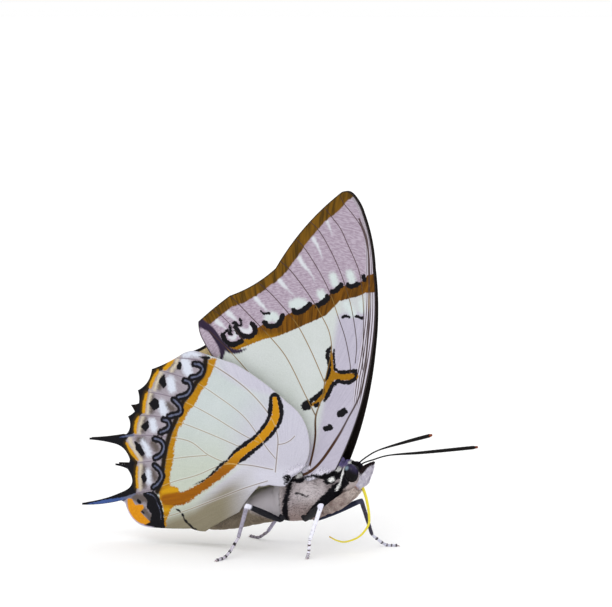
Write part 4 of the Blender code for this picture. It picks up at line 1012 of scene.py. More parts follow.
def dress_wings():
    """All four wings."""
    kinds = (("forewing", FORE_OUTLINE, FORE_VEINS, FORE_SHAPE, FORE_FRONT_EDGES, fore_marks),
             ("hindwing", HIND_OUTLINE, HIND_VEINS, HIND_SHAPE, HIND_FRONT_EDGES, hind_marks))
    for kind, outline, veins, shape, front_edges, marks in kinds:
        material = wing_material(kind)
        for side_name, side in SIDES:
            corners = outline
            if kind == "hindwing" and side == LEFT:
                corners = [HIND_LEFT_CORNERS.get(corner, corner) for corner in outline]
            dress_wing(f"{kind}_{side_name}", side, corners, veins, shape, front_edges, marks, material)


# Body, head and limbs


def ring_faces(rings, sides):
    """Faces of a closed tube whose first and last rings are capped by fans of one extra point each."""
    faces = []
    for k in range(rings - 1):
        for i in range(sides):
            j = (i + 1) % sides
            faces.append((k * sides + i, k * sides + j, (k + 1) * sides + j, (k + 1) * sides + i))
    last = (rings - 1) * sides
    for i in range(sides):
        j = (i + 1) % sides
        faces.append((j, i, rings * sides))
        faces.append((last + i, last + j, rings * sides + 1))
    return faces


def mesh_from(name, points, faces):
    """A mesh from source millimetres, faced outwards and smooth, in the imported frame."""
    mesh = bpy.data.meshes.new(name)
    moved = in_frame(*points.T) * MM
    mesh.from_pydata(moved, [], faces)
    face_outwards(mesh)
    mesh.shade_smooth()
    return mesh


def add_piece(name, mesh, material, nodes=()):
    """Links a piece, gives it its material, hangs it under the root body and hides the nodes that it
    replaces.
    """
    piece = bpy.data.objects.new(name, mesh)
    bpy.context.scene.collection.objects.link(piece)
    mesh.materials.append(material)
    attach(piece, "root")
    if nodes:
        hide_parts(*nodes)
    return piece


def tube_points(path, wides, deeps, sides, across=(0.0, 1.0, 0.0)):
    """Rings of points round a path, with the wide axis kept near the given direction, and two end points."""
    ahead = np.gradient(path, axis=0)
    ahead /= np.linalg.norm(ahead, axis=1)[:, None]
    side = np.asarray(across, float) - ahead * (ahead @ np.asarray(across, float))[:, None]
    side /= np.linalg.norm(side, axis=1)[:, None]
    up = np.cross(ahead, side)
    turn = np.arange(sides) * 2.0 * math.pi / sides
    to_side = (np.cos(turn)[None, :] * np.asarray(wides)[:, None])[..., None]
    to_top = (np.sin(turn)[None, :] * np.asarray(deeps)[:, None])[..., None]
    rings = path[:, None, :] + side[:, None, :] * to_side + up[:, None, :] * to_top
    first = path[0] - ahead[0] * 0.4 * min(wides[0], deeps[0])
    last = path[-1] + ahead[-1] * 0.6 * min(wides[-1], deeps[-1])
    return np.vstack([rings.reshape(-1, 3), first, last])


def tube(name, path, wides, deeps, sides, across=(0.0, 1.0, 0.0), floor=False, stage=None):
    """A closed tube mesh with the distance along it, and its stage if given, stored on each vertex."""
    points = tube_points(path, wides, deeps, sides, across)
    if floor:
        points[:, 2] = np.maximum(points[:, 2], 0.0)
    mesh = mesh_from(name, points, ring_faces(len(path), sides))
    run = np.concatenate([[0.0], np.cumsum(np.linalg.norm(np.diff(path, axis=0), axis=1))])
    for key, values in (("along", run), ("stage", run if stage is None else np.asarray(stage, float))):
        set_attribute(mesh, key, np.concatenate([np.repeat(values, sides), [values[0], values[-1]]]))
    return mesh


def join_into(mesh, extra):
    """Adds the vertices and faces of another mesh, with their attributes, and removes that mesh."""
    work = bmesh.new()
    work.from_mesh(mesh)
    work.from_mesh(extra)
    work.to_mesh(mesh)
    work.free()
    bpy.data.meshes.remove(extra)
    mesh.shade_smooth()


def body_loft(stations, grooved):
    """Points and faces of one rounded part of the body."""
    angle = np.arange(BODY_SIDES) * 2.0 * math.pi / BODY_SIDES
    power = 2.0 / BODY_ROUNDNESS
    across = np.copysign(np.abs(np.cos(angle)) ** power, np.cos(angle))
    upward = np.copysign(np.abs(np.sin(angle)) ** power, np.sin(angle))
    rings = []
    for x, low, high, half_width in spline(stations, BODY_STEPS):
        phase = (-x / SEGMENT_PITCH) % 1.0
        scale = 1.0 - (SEGMENT_DEPTH * (1.0 - math.sin(math.pi * phase) ** 0.5) if grooved else 0.0)
        rings.append(np.stack([np.full(BODY_SIDES, x), half_width * scale * across,
                               0.5 * (low + high) + 0.5 * (high - low) * scale * upward], 1))
    ends = [rings[0].mean(0), rings[-1].mean(0)]
    return np.vstack(rings + [ends]), ring_faces(len(rings), BODY_SIDES)


def body_parts():
    """Thorax, head and abdomen as one rough mesh of closed shapes that overlap."""
    points, faces = [], []
    for stations, grooved in ((THORAX_STATIONS, False), (HEAD_STATIONS, False), (ABDOMEN_STATIONS, True)):
        more_points, more_faces = body_loft(stations, grooved)
        base = sum(len(p) for p in points)
        points.append(more_points)
        faces += [tuple(i + base for i in face) for face in more_faces]
    rough = bpy.data.meshes.new("rough")
    rough.from_pydata(np.vstack(points), [], faces)
    face_outwards(rough)
    return rough


def blended(rough):
    """One smooth mesh round a rough one, which is removed."""
    blank = bpy.data.objects.new("blank", rough)
    bpy.context.scene.collection.objects.link(blank)
    remesh = blank.modifiers.new("skin", "REMESH")
    remesh.mode = "VOXEL"
    remesh.voxel_size = SKIN_PITCH
    soften = blank.modifiers.new("soften", "SMOOTH")
    soften.factor, soften.iterations = SKIN_SOFTENING, SKIN_SOFT_ROUNDS
    mesh = bpy.data.meshes.new_from_object(blank.evaluated_get(bpy.context.evaluated_depsgraph_get()))
    bpy.data.objects.remove(blank, do_unlink=True)
    bpy.data.meshes.remove(rough)
    return mesh


def make_body():
    """One skin over thorax, head and abdomen."""
    mesh = blended(body_parts())
    spots = np.zeros(len(mesh.vertices) * 3, np.float32)
    mesh.vertices.foreach_get("co", spots)
    spots = spots.reshape(-1, 3).astype(float)
    moved = in_frame(*spots.T) * MM
    mesh.vertices.foreach_set("co", moved.astype(np.float32).ravel())
    mesh.update()
    for key, values in body_marks(spots).items():
        set_attribute(mesh, key, values)
    mesh.name = "body_skin"
    mesh.shade_smooth()
    material = body_material("body_fur_ground")
    return add_piece("body_skin", mesh, material, ("thorax", "head", "abdomen"))


def body_marks(spots):
    """The body's markings as numbers, for the skin and for its coat, with a painted highlight on the middle
    of the thorax.
    """
    x, _, z = spots.T
    side_view = np.stack([x, z], 1)
    top = np.interp(x, [-20, -14, -4, 0, 3, 8, 10, 12], [5, 8, 13, 16.5, 18, 17.1, 17.2, 16])
    low = np.interp(x, [-20, -14, -4, 1, 5, 8, 12], [4, 3.2, 5.4, 5.8, 7.0, 10.7, 13])
    rise = (z - low) / np.maximum(top - low, 0.5)
    purple = step(rise, 0.72, 0.88) * step(x, 5.0, 7.4) * (1.0 - step(x, 9.5, 10.1))
    # belly: the underside pinkish brown, partly the fur's own colour and partly painted shade
    belly = 1.0 - step(rise, 0.04, 0.42)
    under = step(5.6 - 0.33 * (x + 2.0) - z, 0.0, 1.4) * step(-x, 2.0, 4.0)
    rear = np.maximum(step(-x, 9.0, 13.0), under)
    olive = step(rise, 0.8, 0.97) * (1.0 - step(x, 5.4, 7.4))
    chin = 0.8 * step(x, 8.4, 9.4) * step(13.9 - z, 0.0, 0.8)
    fold = np.maximum(step(-x, 2.0, 3.0) * (1.0 - rear), chin)
    # painted highlight: the middle of the thorax's side lighter, as where the light falls on it
    glow = 1.0 - step(np.hypot(x - 3.0, z - 11.2), 0.6, 3.6)
    crease = step(-x, 2.4, 2.8) * step(z + 0.3 * x, 4.0, 5.4) * (1.0 - step(-x, 10.0, 12.0))
    return {"black": marks_distance(side_view, BODY_BLACK), "white": marks_distance(side_view, BODY_WHITE),
            "purple": purple, "belly": belly * (1.0 - fold), "rear": rear, "olive": olive, "fold": fold,
            "crease": crease, "glow": glow}


def make_eye(name, side):
    """One domed eye, leaning back a little."""
    work = bmesh.new()
    bmesh.ops.create_icosphere(work, subdivisions=EYE_SUBDIVISIONS, radius=1.0)
    unit = np.array([tuple(v.co) for v in work.verts])
    faces = [tuple(v.index for v in face.verts) for face in work.faces]
    work.free()
    a, b, c = (unit * np.array(EYE_RADII)).T
    x, y, z = EYE_CENTRE
    cos, sin = math.cos(EYE_LEAN), math.sin(EYE_LEAN)
    points = np.stack([x + a * cos - c * sin, side * y + b, z + a * sin + c * cos], 1)
    mesh = mesh_from(name, points, faces)
    # crown: how high and how far forward a point lies, for the eye's painted violet sheen
    set_attribute(mesh, "crown", 0.8 * unit[:, 2] + 0.6 * unit[:, 0])
    # glint: distance from the centre of the painted pale glint
    set_attribute(mesh, "glint", np.hypot(0.8 * (unit[:, 0] + 0.3), 1.2 * (unit[:, 2] - 0.66)))
    add_piece(f"{name}_dome", mesh, bpy.data.materials["eye_dome"], (name,))


def mirrored(points, side):
    """The points with y on the given side."""
    return [(x, side * y, z) for x, y, z in points]


def make_palp(name, side):
    """One palp, a broad flat blade that rises in front of the face."""
    path = spline(mirrored(PALP, side), 8)
    deeps = along_values(PALP_DEPTHS, len(path)) * 0.92
    wides = np.minimum(PALP_HALF_WIDTH, 0.22 + deeps * 0.55) * 0.92
    mesh = tube(name, path, wides, deeps, 24)
    add_piece(f"{name}_skin", mesh, bpy.data.materials["palp_fur"], (name,))


def make_antenna(name, side, line):
    """One antenna: a thin ringed shaft that swells into a long club."""
    path = spline(mirrored(line, side), 26)
    run = np.linspace(0.0, 1.0, len(path))
    swell = np.clip((run - ANTENNA_CLUB_START) / (1.0 - ANTENNA_CLUB_START), 0.0, 1.0)
    radii = ANTENNA_SHAFT + (ANTENNA_CLUB - ANTENNA_SHAFT) * np.sin(1.9 * swell) * swell ** 0.2
    radii = radii * (1.0 + 0.05 * (np.arange(len(path)) % 2)) * np.where(run > 0.985, 0.7, 1.0)
    mesh = tube(name, path, radii, radii, 14, (0.0, 0.0, 1.0))
    along = np.zeros(len(mesh.vertices), np.float32)
    mesh.attributes["along"].data.foreach_get("value", along)
    set_attribute(mesh, "left", along.max() - along)
    add_piece(f"{name}_rod", mesh, bpy.data.materials["antenna_rod"], (name,))


def make_proboscis():
    """The proboscis, two tubes side by side, half uncoiled under the head."""
    path = spline(PROBOSCIS, 16)
    radii = along_values(PROBOSCIS_RADII, len(path)) * (1.0 + 0.025 * (np.arange(len(path)) % 2))
    halves = []
    for side in (LEFT, RIGHT):
        half = path + np.array([0.0, 1.0, 0.0]) * side * 0.42 * radii[:, None]
        halves.append(tube("proboscis", half, radii * 0.58, radii, 14))
    join_into(*halves)
    material = bpy.data.materials["proboscis_tube"]
    add_piece("proboscis_tubes", halves[0], material, ("proboscis",))


def leg_line(joints):
    """Centre line, radii and stage (0 coxa, 1 femur, 2 tibia, 3 to 4 foot) of a leg."""
    hip, trochanter, knee, ankle, heel, toe = (np.array(p, float) for p in joints)
    path, radii, stage = [], [], []

    def add_run(start, end, profile, radius, first):
        count = 4 * len(profile)
        for k in range(count):
            t = k / count
            path.append(start + (end - start) * t)
            radii.append(radius * np.interp(t, np.linspace(0.0, 1.0, len(profile)), profile))
            stage.append(first + t)

    add_run(hip, trochanter, [1.0, 1.05, 0.9], COXA_RADIUS, 0.0)
    add_run(trochanter, knee, [0.7, 0.92, 1.04, 1.05, 0.98, 0.86, 0.76], FEMUR_RADIUS, 1.0)
    add_run(knee, ankle, [0.98, 0.9, 0.85, 0.8, 0.76, 0.74], TIBIA_RADIUS, 2.0)
    tarsus = spline([ankle, heel, toe], 4 * TARSUS_JOINTS)
    for k, point in enumerate(tarsus):
        phase = (k * TARSUS_JOINTS / (len(tarsus) - 1)) % 1.0
        path.append(point)
        radii.append(TARSUS_RADIUS * (0.82 + 0.3 * phase))
        stage.append(3.0 + k / (len(tarsus) - 1))
    return np.array(path), np.array(radii), np.array(stage)


def spikes(name, roots, tips, radius, stage):
    """Small solid cones from roots to tips, as one mesh."""
    points, faces, stages = [], [], []
    for root, tip, value in zip(roots, tips, stage):
        ahead = (tip - root) / np.linalg.norm(tip - root)
        side = np.cross(ahead, [0.3, 0.5, 0.8])
        side /= np.linalg.norm(side)
        up = np.cross(ahead, side)
        base = len(points)
        for k in range(SPINE_SIDES):
            turn = k * 2.0 * math.pi / SPINE_SIDES
            points.append(root + radius * (side * math.cos(turn) + up * math.sin(turn)))
        points.append(tip)
        faces += [(base + k, base + (k + 1) % SPINE_SIDES, base + SPINE_SIDES) for k in range(SPINE_SIDES)]
        faces.append(tuple(base + k for k in range(SPINE_SIDES)))
        stages += [value] * (SPINE_SIDES + 1)
    mesh = mesh_from(name, np.array(points), faces)
    set_attribute(mesh, "along", np.zeros(len(points)))
    set_attribute(mesh, "stage", stages)
    return mesh


def leg_spines(path, radii, stage, random):
    """Short spines on the tibia and the foot, leaning towards the claws."""
    roots, tips, stages = [], [], []
    ahead = np.gradient(path, axis=0)
    ahead /= np.linalg.norm(ahead, axis=1)[:, None]
    for k in np.nonzero(stage > SPINES_FROM_STAGE)[0]:
        for _ in range(2):
            away = np.cross(ahead[k], random.normal(size=3))
            away /= np.linalg.norm(away)
            root = path[k] + away * radii[k] * 0.8
            tip = path[k] + away * (radii[k] + SPINE_LIFT) + ahead[k] * SPINE_LENGTH
            if tip[2] > 0.02:
                roots.append(root)
                tips.append(tip)
                stages.append(5.0)
    return roots, tips, stages


def leg_claws(heel, toe):
    """Roots and tips of the two claws."""
    ahead = (toe - heel) / np.linalg.norm(toe - heel)
    across = np.cross(ahead, [0.0, 0.0, 1.0])
    across /= np.linalg.norm(across)
    roots = [toe - ahead * 0.3 + across * turn * 0.08 for turn in (-1.0, 1.0)]
    tips = [toe + ahead * CLAW_LENGTH + across * turn * CLAW_SPREAD - np.array([0.0, 0.0, 0.08])
            for turn in (-1.0, 1.0)]
    return roots, tips


def make_leg(name, side, joints, random):
    """One walking leg with its spines and claws, flat under the foot."""
    joints = [np.array(p, float) for p in mirrored(joints, side)]
    path, radii, stage = leg_line(joints)
    across = np.cross(joints[2] - joints[1], joints[3] - joints[2])
    mesh = tube(name, path, radii, radii, 16, across / np.linalg.norm(across), True, stage)
    spine_roots, spine_tips, spine_stages = leg_spines(path, radii, stage, random)
    join_into(mesh, spikes("spines", spine_roots, spine_tips, SPINE_RADIUS, spine_stages))
    roots, tips = leg_claws(joints[4], joints[5])
    join_into(mesh, spikes("claws", roots, tips, CLAW_RADIUS, [6.0, 6.0]))
    add_piece(f"{name}_skin", mesh, bpy.data.materials[f"{name}_scales"], (name,))


def make_foreleg(name, side):
    """One small foreleg, folded up under the head."""
    path = spline(mirrored(FORELEG, side), 8)
    radii = along_values(FORELEG_RADII, len(path)) * 0.9
    mesh = tube(name, path, radii, radii, 20)
    add_piece(f"{name}_skin", mesh, bpy.data.materials["foreleg_fur"], (name,))


def body_tones(paint):
    """The body's colours from its stored markings, with a painted highlight on the thorax and painted shade
    towards the belly.
    """
    mix, times = paint.mix, paint.times
    keys = ("black", "white", "purple", "belly", "rear", "olive", "fold", "crease", "glow")
    value = {key: paint.attribute(key) for key in keys}
    cloud, fine = paint.noise(520.0, 3.0), paint.noise(3200.0, 2.0)
    ragged = times(paint.less(paint.noise(1500.0, 3.0), 0.5), 0.5)
    tone = mix(paint.rise(cloud, 0.25, 0.75), rgb(150, 139, 141), rgb(192, 182, 186))
    # painted highlight on the middle of the thorax
    tone = mix(times(value["glow"], 0.7), tone, rgb(222, 214, 217))
    tone = mix(value["fold"], tone, rgb(214, 202, 200))
    tone = mix(value["crease"], tone, mix(paint.noise(260.0), rgb(154, 149, 154), rgb(182, 176, 182)))
    # belly: pinkish brown, partly the fur's own colour and partly painted shade
    tone = mix(times(value["belly"], 0.85), tone, mix(fine, rgb(142, 119, 114), rgb(178, 160, 155)))
    tone = mix(times(value["rear"], 0.92), tone, mix(cloud, rgb(110, 98, 84), rgb(158, 146, 124)))
    tone = mix(times(value["olive"], 0.8), tone, rgb(122, 116, 92))
    tone = mix(times(value["purple"], 0.9), tone, mix(fine, rgb(100, 88, 154), rgb(172, 160, 222)))
    dark = mix(fine, rgb(4, 4, 8), rgb(20, 17, 26))
    tone = paint.lay(tone, paint.add(value["black"], ragged), dark, -0.12, 0.14)
    return paint.lay(tone, paint.add(value["white"], times(ragged, 0.4)), rgb(255, 255, 255), -0.1, 0.1)


def body_material(name):
    """The skin under the coat."""
    paint = Paint(name, 0.85)
    paint.colour(body_tones(paint))
    paint.relief(2400.0, 3.0, 0.5, 0.0001)
    paint.shader.inputs["Sheen Weight"].default_value = 0.2
    return paint.material


def leg_material(name, femur, knee, tibia, foot, rings):
    """Scales of a leg, by its stages, with dark and pale specks."""
    paint = Paint(name, 0.6)
    stage, specks = paint.attribute("stage"), paint.noise(2100.0, 3.0)
    dark_femur = [int(c * 0.8) for c in femur]
    pale_femur = [min(255, int(c * 1.3) + 6) for c in femur]
    tone = paint.mix(specks, rgb(*dark_femur), rgb(*pale_femur))
    tone = paint.mix(paint.rise(stage, 1.86, 1.93), tone, rgb(*knee))
    shin = paint.mix(paint.rise(specks, 0.5, 0.7), rgb(*tibia), rgb(*[int(c * 0.8) for c in tibia]))
    tone = paint.mix(paint.rise(stage, 2.06, 2.12), tone, shin)
    phase = paint.maths("FRACT", paint.times(stage, float(TARSUS_JOINTS)))
    ringed = paint.times(paint.rise(phase, 0.62, 0.78), paint.rise(specks, 0.28, 0.4))
    tone = paint.mix(paint.rise(stage, 2.97, 3.0), tone, paint.mix(ringed, rgb(*foot), rgb(*rings)))
    tone = paint.mix(paint.rise(stage, 4.4, 4.6), tone, rgb(150, 140, 150))
    tone = paint.mix(paint.rise(stage, 5.4, 5.6), tone, rgb(118, 52, 28))
    paint.colour(tone)
    paint.connect("Normal", paint.bump(specks, 0.5, 0.00008))
    paint.shader.inputs["Specular IOR Level"].default_value = 0.2


def eye_material():
    """The dark glossy eye, with a painted violet sheen towards its crown and a painted pale glint."""
    eye = Paint("eye_dome", 0.14)
    cells = eye.put("ShaderNodeTexVoronoi", {"Vector": eye.place(), "Scale": 9000.0}, 0)
    tone = eye.mix(eye.noise(700.0), rgb(2, 1, 2), rgb(9, 6, 8))
    # painted violet sheen towards the crown
    tone = eye.mix(eye.times(eye.rise(eye.attribute("crown"), 0.1, 1.1), 0.7), tone, rgb(64, 56, 92))
    # painted pale glint near the top
    shine = eye.fall(eye.attribute("glint"), 0.02, 0.42)
    eye.colour(eye.mix(eye.times(shine, 0.75), tone, rgb(146, 168, 186)))
    eye.connect("Normal", eye.bump(cells, 0.12, 0.00003))
    eye.shader.inputs["Specular IOR Level"].default_value = 0.12


def limb_materials():
    """Materials of palps, feelers, mouthparts and legs."""
    palp = Paint("palp_fur", 0.8)
    tone = palp.mix(palp.noise(900.0, 3.0), rgb(178, 172, 196), rgb(232, 230, 242))
    palp.colour(palp.mix(palp.fall(palp.attribute("along"), 0.2, 0.8), tone, rgb(206, 140, 66)))
    palp.relief(2400.0, 3.0, 0.5, 0.0001)
    antenna = Paint("antenna_rod", 0.5)
    tone = antenna.mix(antenna.noise(1800.0), rgb(2, 2, 3), rgb(18, 14, 13))
    antenna.shader.inputs["Specular IOR Level"].default_value = 0.1
    antenna.colour(antenna.mix(antenna.rise(antenna.attribute("left"), 0.2, 0.5), rgb(122, 58, 32), tone))
    antenna.relief(4000.0, 2.0, 0.3, 0.00005)
    tongue = Paint("proboscis_tube", 0.32)
    tone = tongue.mix(tongue.noise(1500.0), rgb(206, 190, 16), rgb(232, 218, 60))
    tongue.colour(tongue.mix(tongue.rise(tongue.attribute("along"), 15.0, 19.0), tone, rgb(176, 96, 30)))
    tongue.relief(3000.0, 2.0, 0.3, 0.00005)
    foreleg = Paint("foreleg_fur", 0.85)
    foreleg.colour(foreleg.mix(foreleg.noise(900.0, 3.0), rgb(130, 108, 105), rgb(180, 162, 155)))
    foreleg.relief(2400.0, 3.0, 0.5, 0.0001)
    for name, tones in LEG_TONES.items():
        leg_material(f"{name}_scales", *tones)


# Coats of fur


def surface_samples(mesh, count, random, weight):
    """Random places on a mesh, by area and weight: positions and normals in source millimetres."""
    mesh.calc_loop_triangles()
    verts = np.zeros(len(mesh.vertices) * 3)
    mesh.vertices.foreach_get("co", verts)
    verts = verts.reshape(-1, 3) / MM - np.array(ORIGIN)
    tri = np.zeros(len(mesh.loop_triangles) * 3, int)
    mesh.loop_triangles.foreach_get("vertices", tri)
    tri = tri.reshape(-1, 3)
    a, b, c = verts[tri[:, 0]], verts[tri[:, 1]], verts[tri[:, 2]]
    normal = np.cross(b - a, c - a)
    area = np.linalg.norm(normal, axis=1)
    chance = area * weight((a + b + c) / 3.0)
    pick = random.choice(len(tri), size=count, p=chance / chance.sum())
    u, v = random.random(count), random.random(count)
    over = u + v > 1.0
    u[over], v[over] = 1.0 - u[over], 1.0 - v[over]
    spots = a[pick] + (b - a)[pick] * u[:, None] + (c - a)[pick] * v[:, None]
    return spots, normal[pick] / np.maximum(area[pick], 1e-12)[:, None]


def tuft_mesh(name, points, count):
    """The spikes' faces over their corners: three sides below and three above the bend, and the base."""
    first = np.arange(count)[:, None] * TUFT_CORNERS
    quads = [first + np.array(q) for q in ((0, 3, 4, 1), (1, 4, 5, 2), (2, 5, 3, 0))]
    tris = [first + np.array(t) for t in ((3, 6, 4), (4, 6, 5), (5, 6, 3), (0, 1, 2))]
    mesh = bpy.data.meshes.new(name)
    mesh.from_pydata(in_frame(*points.T) * MM, [], [tuple(f) for part in quads + tris for f in part.tolist()])
    return mesh


def unwrap_tufts(mesh, around, along):
    """Gives each spike its place on the unwrap, round and along the skin, with a small spread."""
    spread = np.array([(-1, -1), (1, -1), (0, -1), (-0.7, 0), (0.7, 0), (0, 0.2), (0, 1)]) * UV_SPREAD
    maps = np.repeat(np.stack([around, along], 1), TUFT_CORNERS, axis=0) + np.tile(spread, (len(around), 1))
    layer = mesh.uv_layers.new(name="OFBake")
    corner_vertex = np.zeros(len(mesh.loops), int)
    mesh.loops.foreach_get("vertex_index", corner_vertex)
    layer.data.foreach_set("uv", maps[corner_vertex].astype(np.float32).ravel())


def coat(name, skin, count, length, width, lie, stand, weight, marks, place, material, random):
    """Tufts over a skin: bent three-sided spikes that lie along a direction and carry the skin's markings.

    length, width and stand (the lift off the skin) take the roots; lie gives each root's direction and place
    its spot on the skin's unwrap.
    """
    roots, normals = surface_samples(skin.data, count, random, weight)
    flow = lie(roots) + random.normal(size=(count, 3)) * TUFT_SCATTER
    flow -= normals * np.sum(flow * normals, axis=1)[:, None]
    flow /= np.maximum(np.linalg.norm(flow, axis=1), 1e-9)[:, None]
    side = np.cross(flow, normals)
    lift = (stand(roots) * random.uniform(0.6, 1.3, count))[:, None]
    reach = (length(roots) * random.uniform(0.65, 1.25, count))[:, None]
    middle = roots + (flow * 0.55 + normals * 0.75 * lift) * reach
    tip = roots + (flow * 1.0 + normals * lift) * reach
    half = (0.5 * width(roots) * random.uniform(0.8, 1.2, count))[:, None]
    base = roots - normals * 0.04
    corners = [base + side * half, base - side * half, base + normals * half * 1.3 - flow * half]
    corners += [middle + side * half * 0.72, middle - side * half * 0.72, middle + normals * half * 0.8, tip]
    mesh = tuft_mesh(name, np.stack(corners, 1).reshape(-1, 3), count)
    for key, values in marks(roots + 0.45 * reach * flow).items():
        set_attribute(mesh, key, np.repeat(values, TUFT_CORNERS))
    set_attribute(mesh, "tuft", np.repeat(random.random(count), TUFT_CORNERS))
    set_attribute(mesh, "tip", np.tile([0.0, 0.0, 0.0, 0.55, 0.55, 0.55, 1.0], count))
    unwrap_tufts(mesh, *place(roots))
    mesh.shade_smooth()
    add_piece(name, mesh, material)


def body_place(spots):
    """A spot's place on the body's unwrap: round the body's axis and along it."""
    x, y, z = spots.T
    middle = np.interp(x, [-20, -4, 3, 8, 12], [4.5, 9.0, 12.0, 14.0, 14.4])
    return np.arctan2(y, z - middle) / (2.0 * math.pi) * 0.98 + 0.5, 0.02 + 0.96 * (x + 21.0) / 34.0


def limb_place(spots):
    """A spot's place on a limb's unwrap."""
    x, y, z = spots.T
    return 0.5 + 0.45 * np.sin(y * 2.0 + z * 0.7), 0.02 + 0.96 * np.clip((x - 3.0) / 13.0, 0.0, 1.0)


def fur_material(name, tones):
    """Fur: the skin's colours, a little different from tuft to tuft and paler at the tips."""
    paint = Paint(name, 0.8)
    tone = tones(paint)
    by_tuft = paint.add(0.86, paint.times(paint.attribute("tuft"), 0.24))
    by_tip = paint.add(0.9, paint.times(paint.attribute("tip"), 0.14))
    paint.colour(paint.dim(tone, paint.times(by_tuft, by_tip)))
    paint.relief(5000.0, 2.0, 0.25, 0.00004)
    paint.shader.inputs["Specular IOR Level"].default_value = 0.15
    return paint.material


def root_tones(paint):
    """Lilac-white fur with the body's black marks."""
    dark = paint.fall(paint.attribute("black"), -0.12, 0.14)
    return paint.mix(dark, rgb(228, 225, 238), rgb(10, 9, 14))


def palp_tones(paint):
    """White-lilac fur with a dark upper edge and an orange root."""
    tone = paint.mix(paint.rise(paint.noise(1300.0, 3.0), 0.3, 0.7), rgb(206, 200, 216), rgb(238, 234, 244))
    tone = paint.mix(paint.fall(paint.attribute("root"), 0.0, 1.0), tone, rgb(206, 140, 66))
    crest = paint.mix(paint.noise(2600.0), rgb(12, 9, 12), rgb(52, 36, 38))
    return paint.mix(paint.attribute("crest"), tone, crest)


def foreleg_tones(paint):
    """Pale pinkish fur."""
    tone = paint.mix(paint.rise(paint.noise(900.0, 3.0), 0.3, 0.7), rgb(150, 130, 125), rgb(198, 182, 176))
    return paint.mix(paint.attribute("chin"), tone, rgb(204, 190, 184))


def palp_marks(spots):
    """How near a spot is to the palp's root and to its upper edge."""
    x, _, z = spots.T
    front = np.interp(z, [12.0, 13.4, 14.9, 15.9, 16.5, 17.2], [10.6, 11.5, 12.45, 13.25, 13.9, 14.8])
    crest = step(front - x, -0.15, 0.15) * step(z, 14.2, 15.0)
    return {"crest": crest, "root": step(x + z, 22.8, 24.0)}


def foreleg_marks(spots):
    """How near a spot is to the chin, where the fur is palest."""
    return {"chin": step(spots[:, 0] + 0.5 * spots[:, 2], 14.2, 15.8)}


def constant(value):
    """A function that gives every spot the same value."""
    return lambda spots: np.full(len(spots), float(value))


def dress_body(skin, random):
    """The coats of thorax, head and abdomen."""
    fur = fur_material("body_fur", body_tones)

    def lie(spots):
        x, y, z = spots.T
        head = step(x, 7.6, 8.8)
        down = -0.25 - 0.5 * step(13.0 - z, 0.0, 6.0)
        return np.stack([-1.0 + 0.9 * head, 0.1 * y, down * (1.0 - head) + head * 0.9], 1)

    def length(spots):
        x, _, z = spots.T
        head = step(x, 7.8, 8.6)
        crown = head * step(z, 15.8, 16.8) * (1.0 - step(x, 9.4, 10.4))
        return 0.66 - 0.3 * head + 0.3 * crown - 0.28 * step(-x, 2.0, 3.0) - 0.1 * step(9.0 - z, 0.0, 3.0)

    def stand(spots):
        x, _, z = spots.T
        return 0.12 + 0.25 * step(x, 5.5, 7.5) * step(z, 15.6, 16.8) + 0.12 * step(z, 16.5, 17.5)

    def on_thorax(spots):
        return ((spots[:, 0] > -4.6) & (spots[:, 0] <= 8.0)) * (1.0 - body_marks(spots)["crease"])

    def on_head(spots):
        x, y, z = spots.T
        a = (x - EYE_CENTRE[0]) / (EYE_RADII[0] + 0.1)
        b = (z - EYE_CENTRE[2]) / (EYE_RADII[2] + 0.1)
        clear = ((a * a + b * b) > 1.0) | (np.abs(y) < 0.9)
        return ((x > 8.0) & clear) * 1.0

    def on_abdomen(spots):
        return (spots[:, 0] <= -4.6) * (1.0 - body_marks(spots)["crease"])

    kinds = (("thorax", THORAX_TUFTS, THORAX_WIDTH, stand, on_thorax),
             ("head", HEAD_TUFTS, HEAD_WIDTH, stand, on_head),
             ("abdomen", ABDOMEN_TUFTS, ABDOMEN_WIDTH, constant(ABDOMEN_LIFT), on_abdomen))
    for slot, count, width, lift, weight in kinds:
        coat(f"{slot}_coat", skin, count, length, constant(width), lie, lift, weight, body_marks, body_place,
             fur, random)


def wing_root_weight(spots):
    """Where fur grows over the wings' roots."""
    x, _, z = spots.T
    beside = step(marks_distance(spots[:, [0, 2]], ROOT_STEMS), 0.1, 0.4)
    return step(2.8 - np.hypot(0.62 * (x - 3.2), z - 13.9), 0.0, 1.6) * beside


def wing_root_marks(spots):
    """The black marks under the fur of the wings' roots."""
    return {"black": marks_distance(spots[:, [0, 2]], BODY_BLACK) + 2.0 * step(spots[:, 2], 14.6, 15.8)}


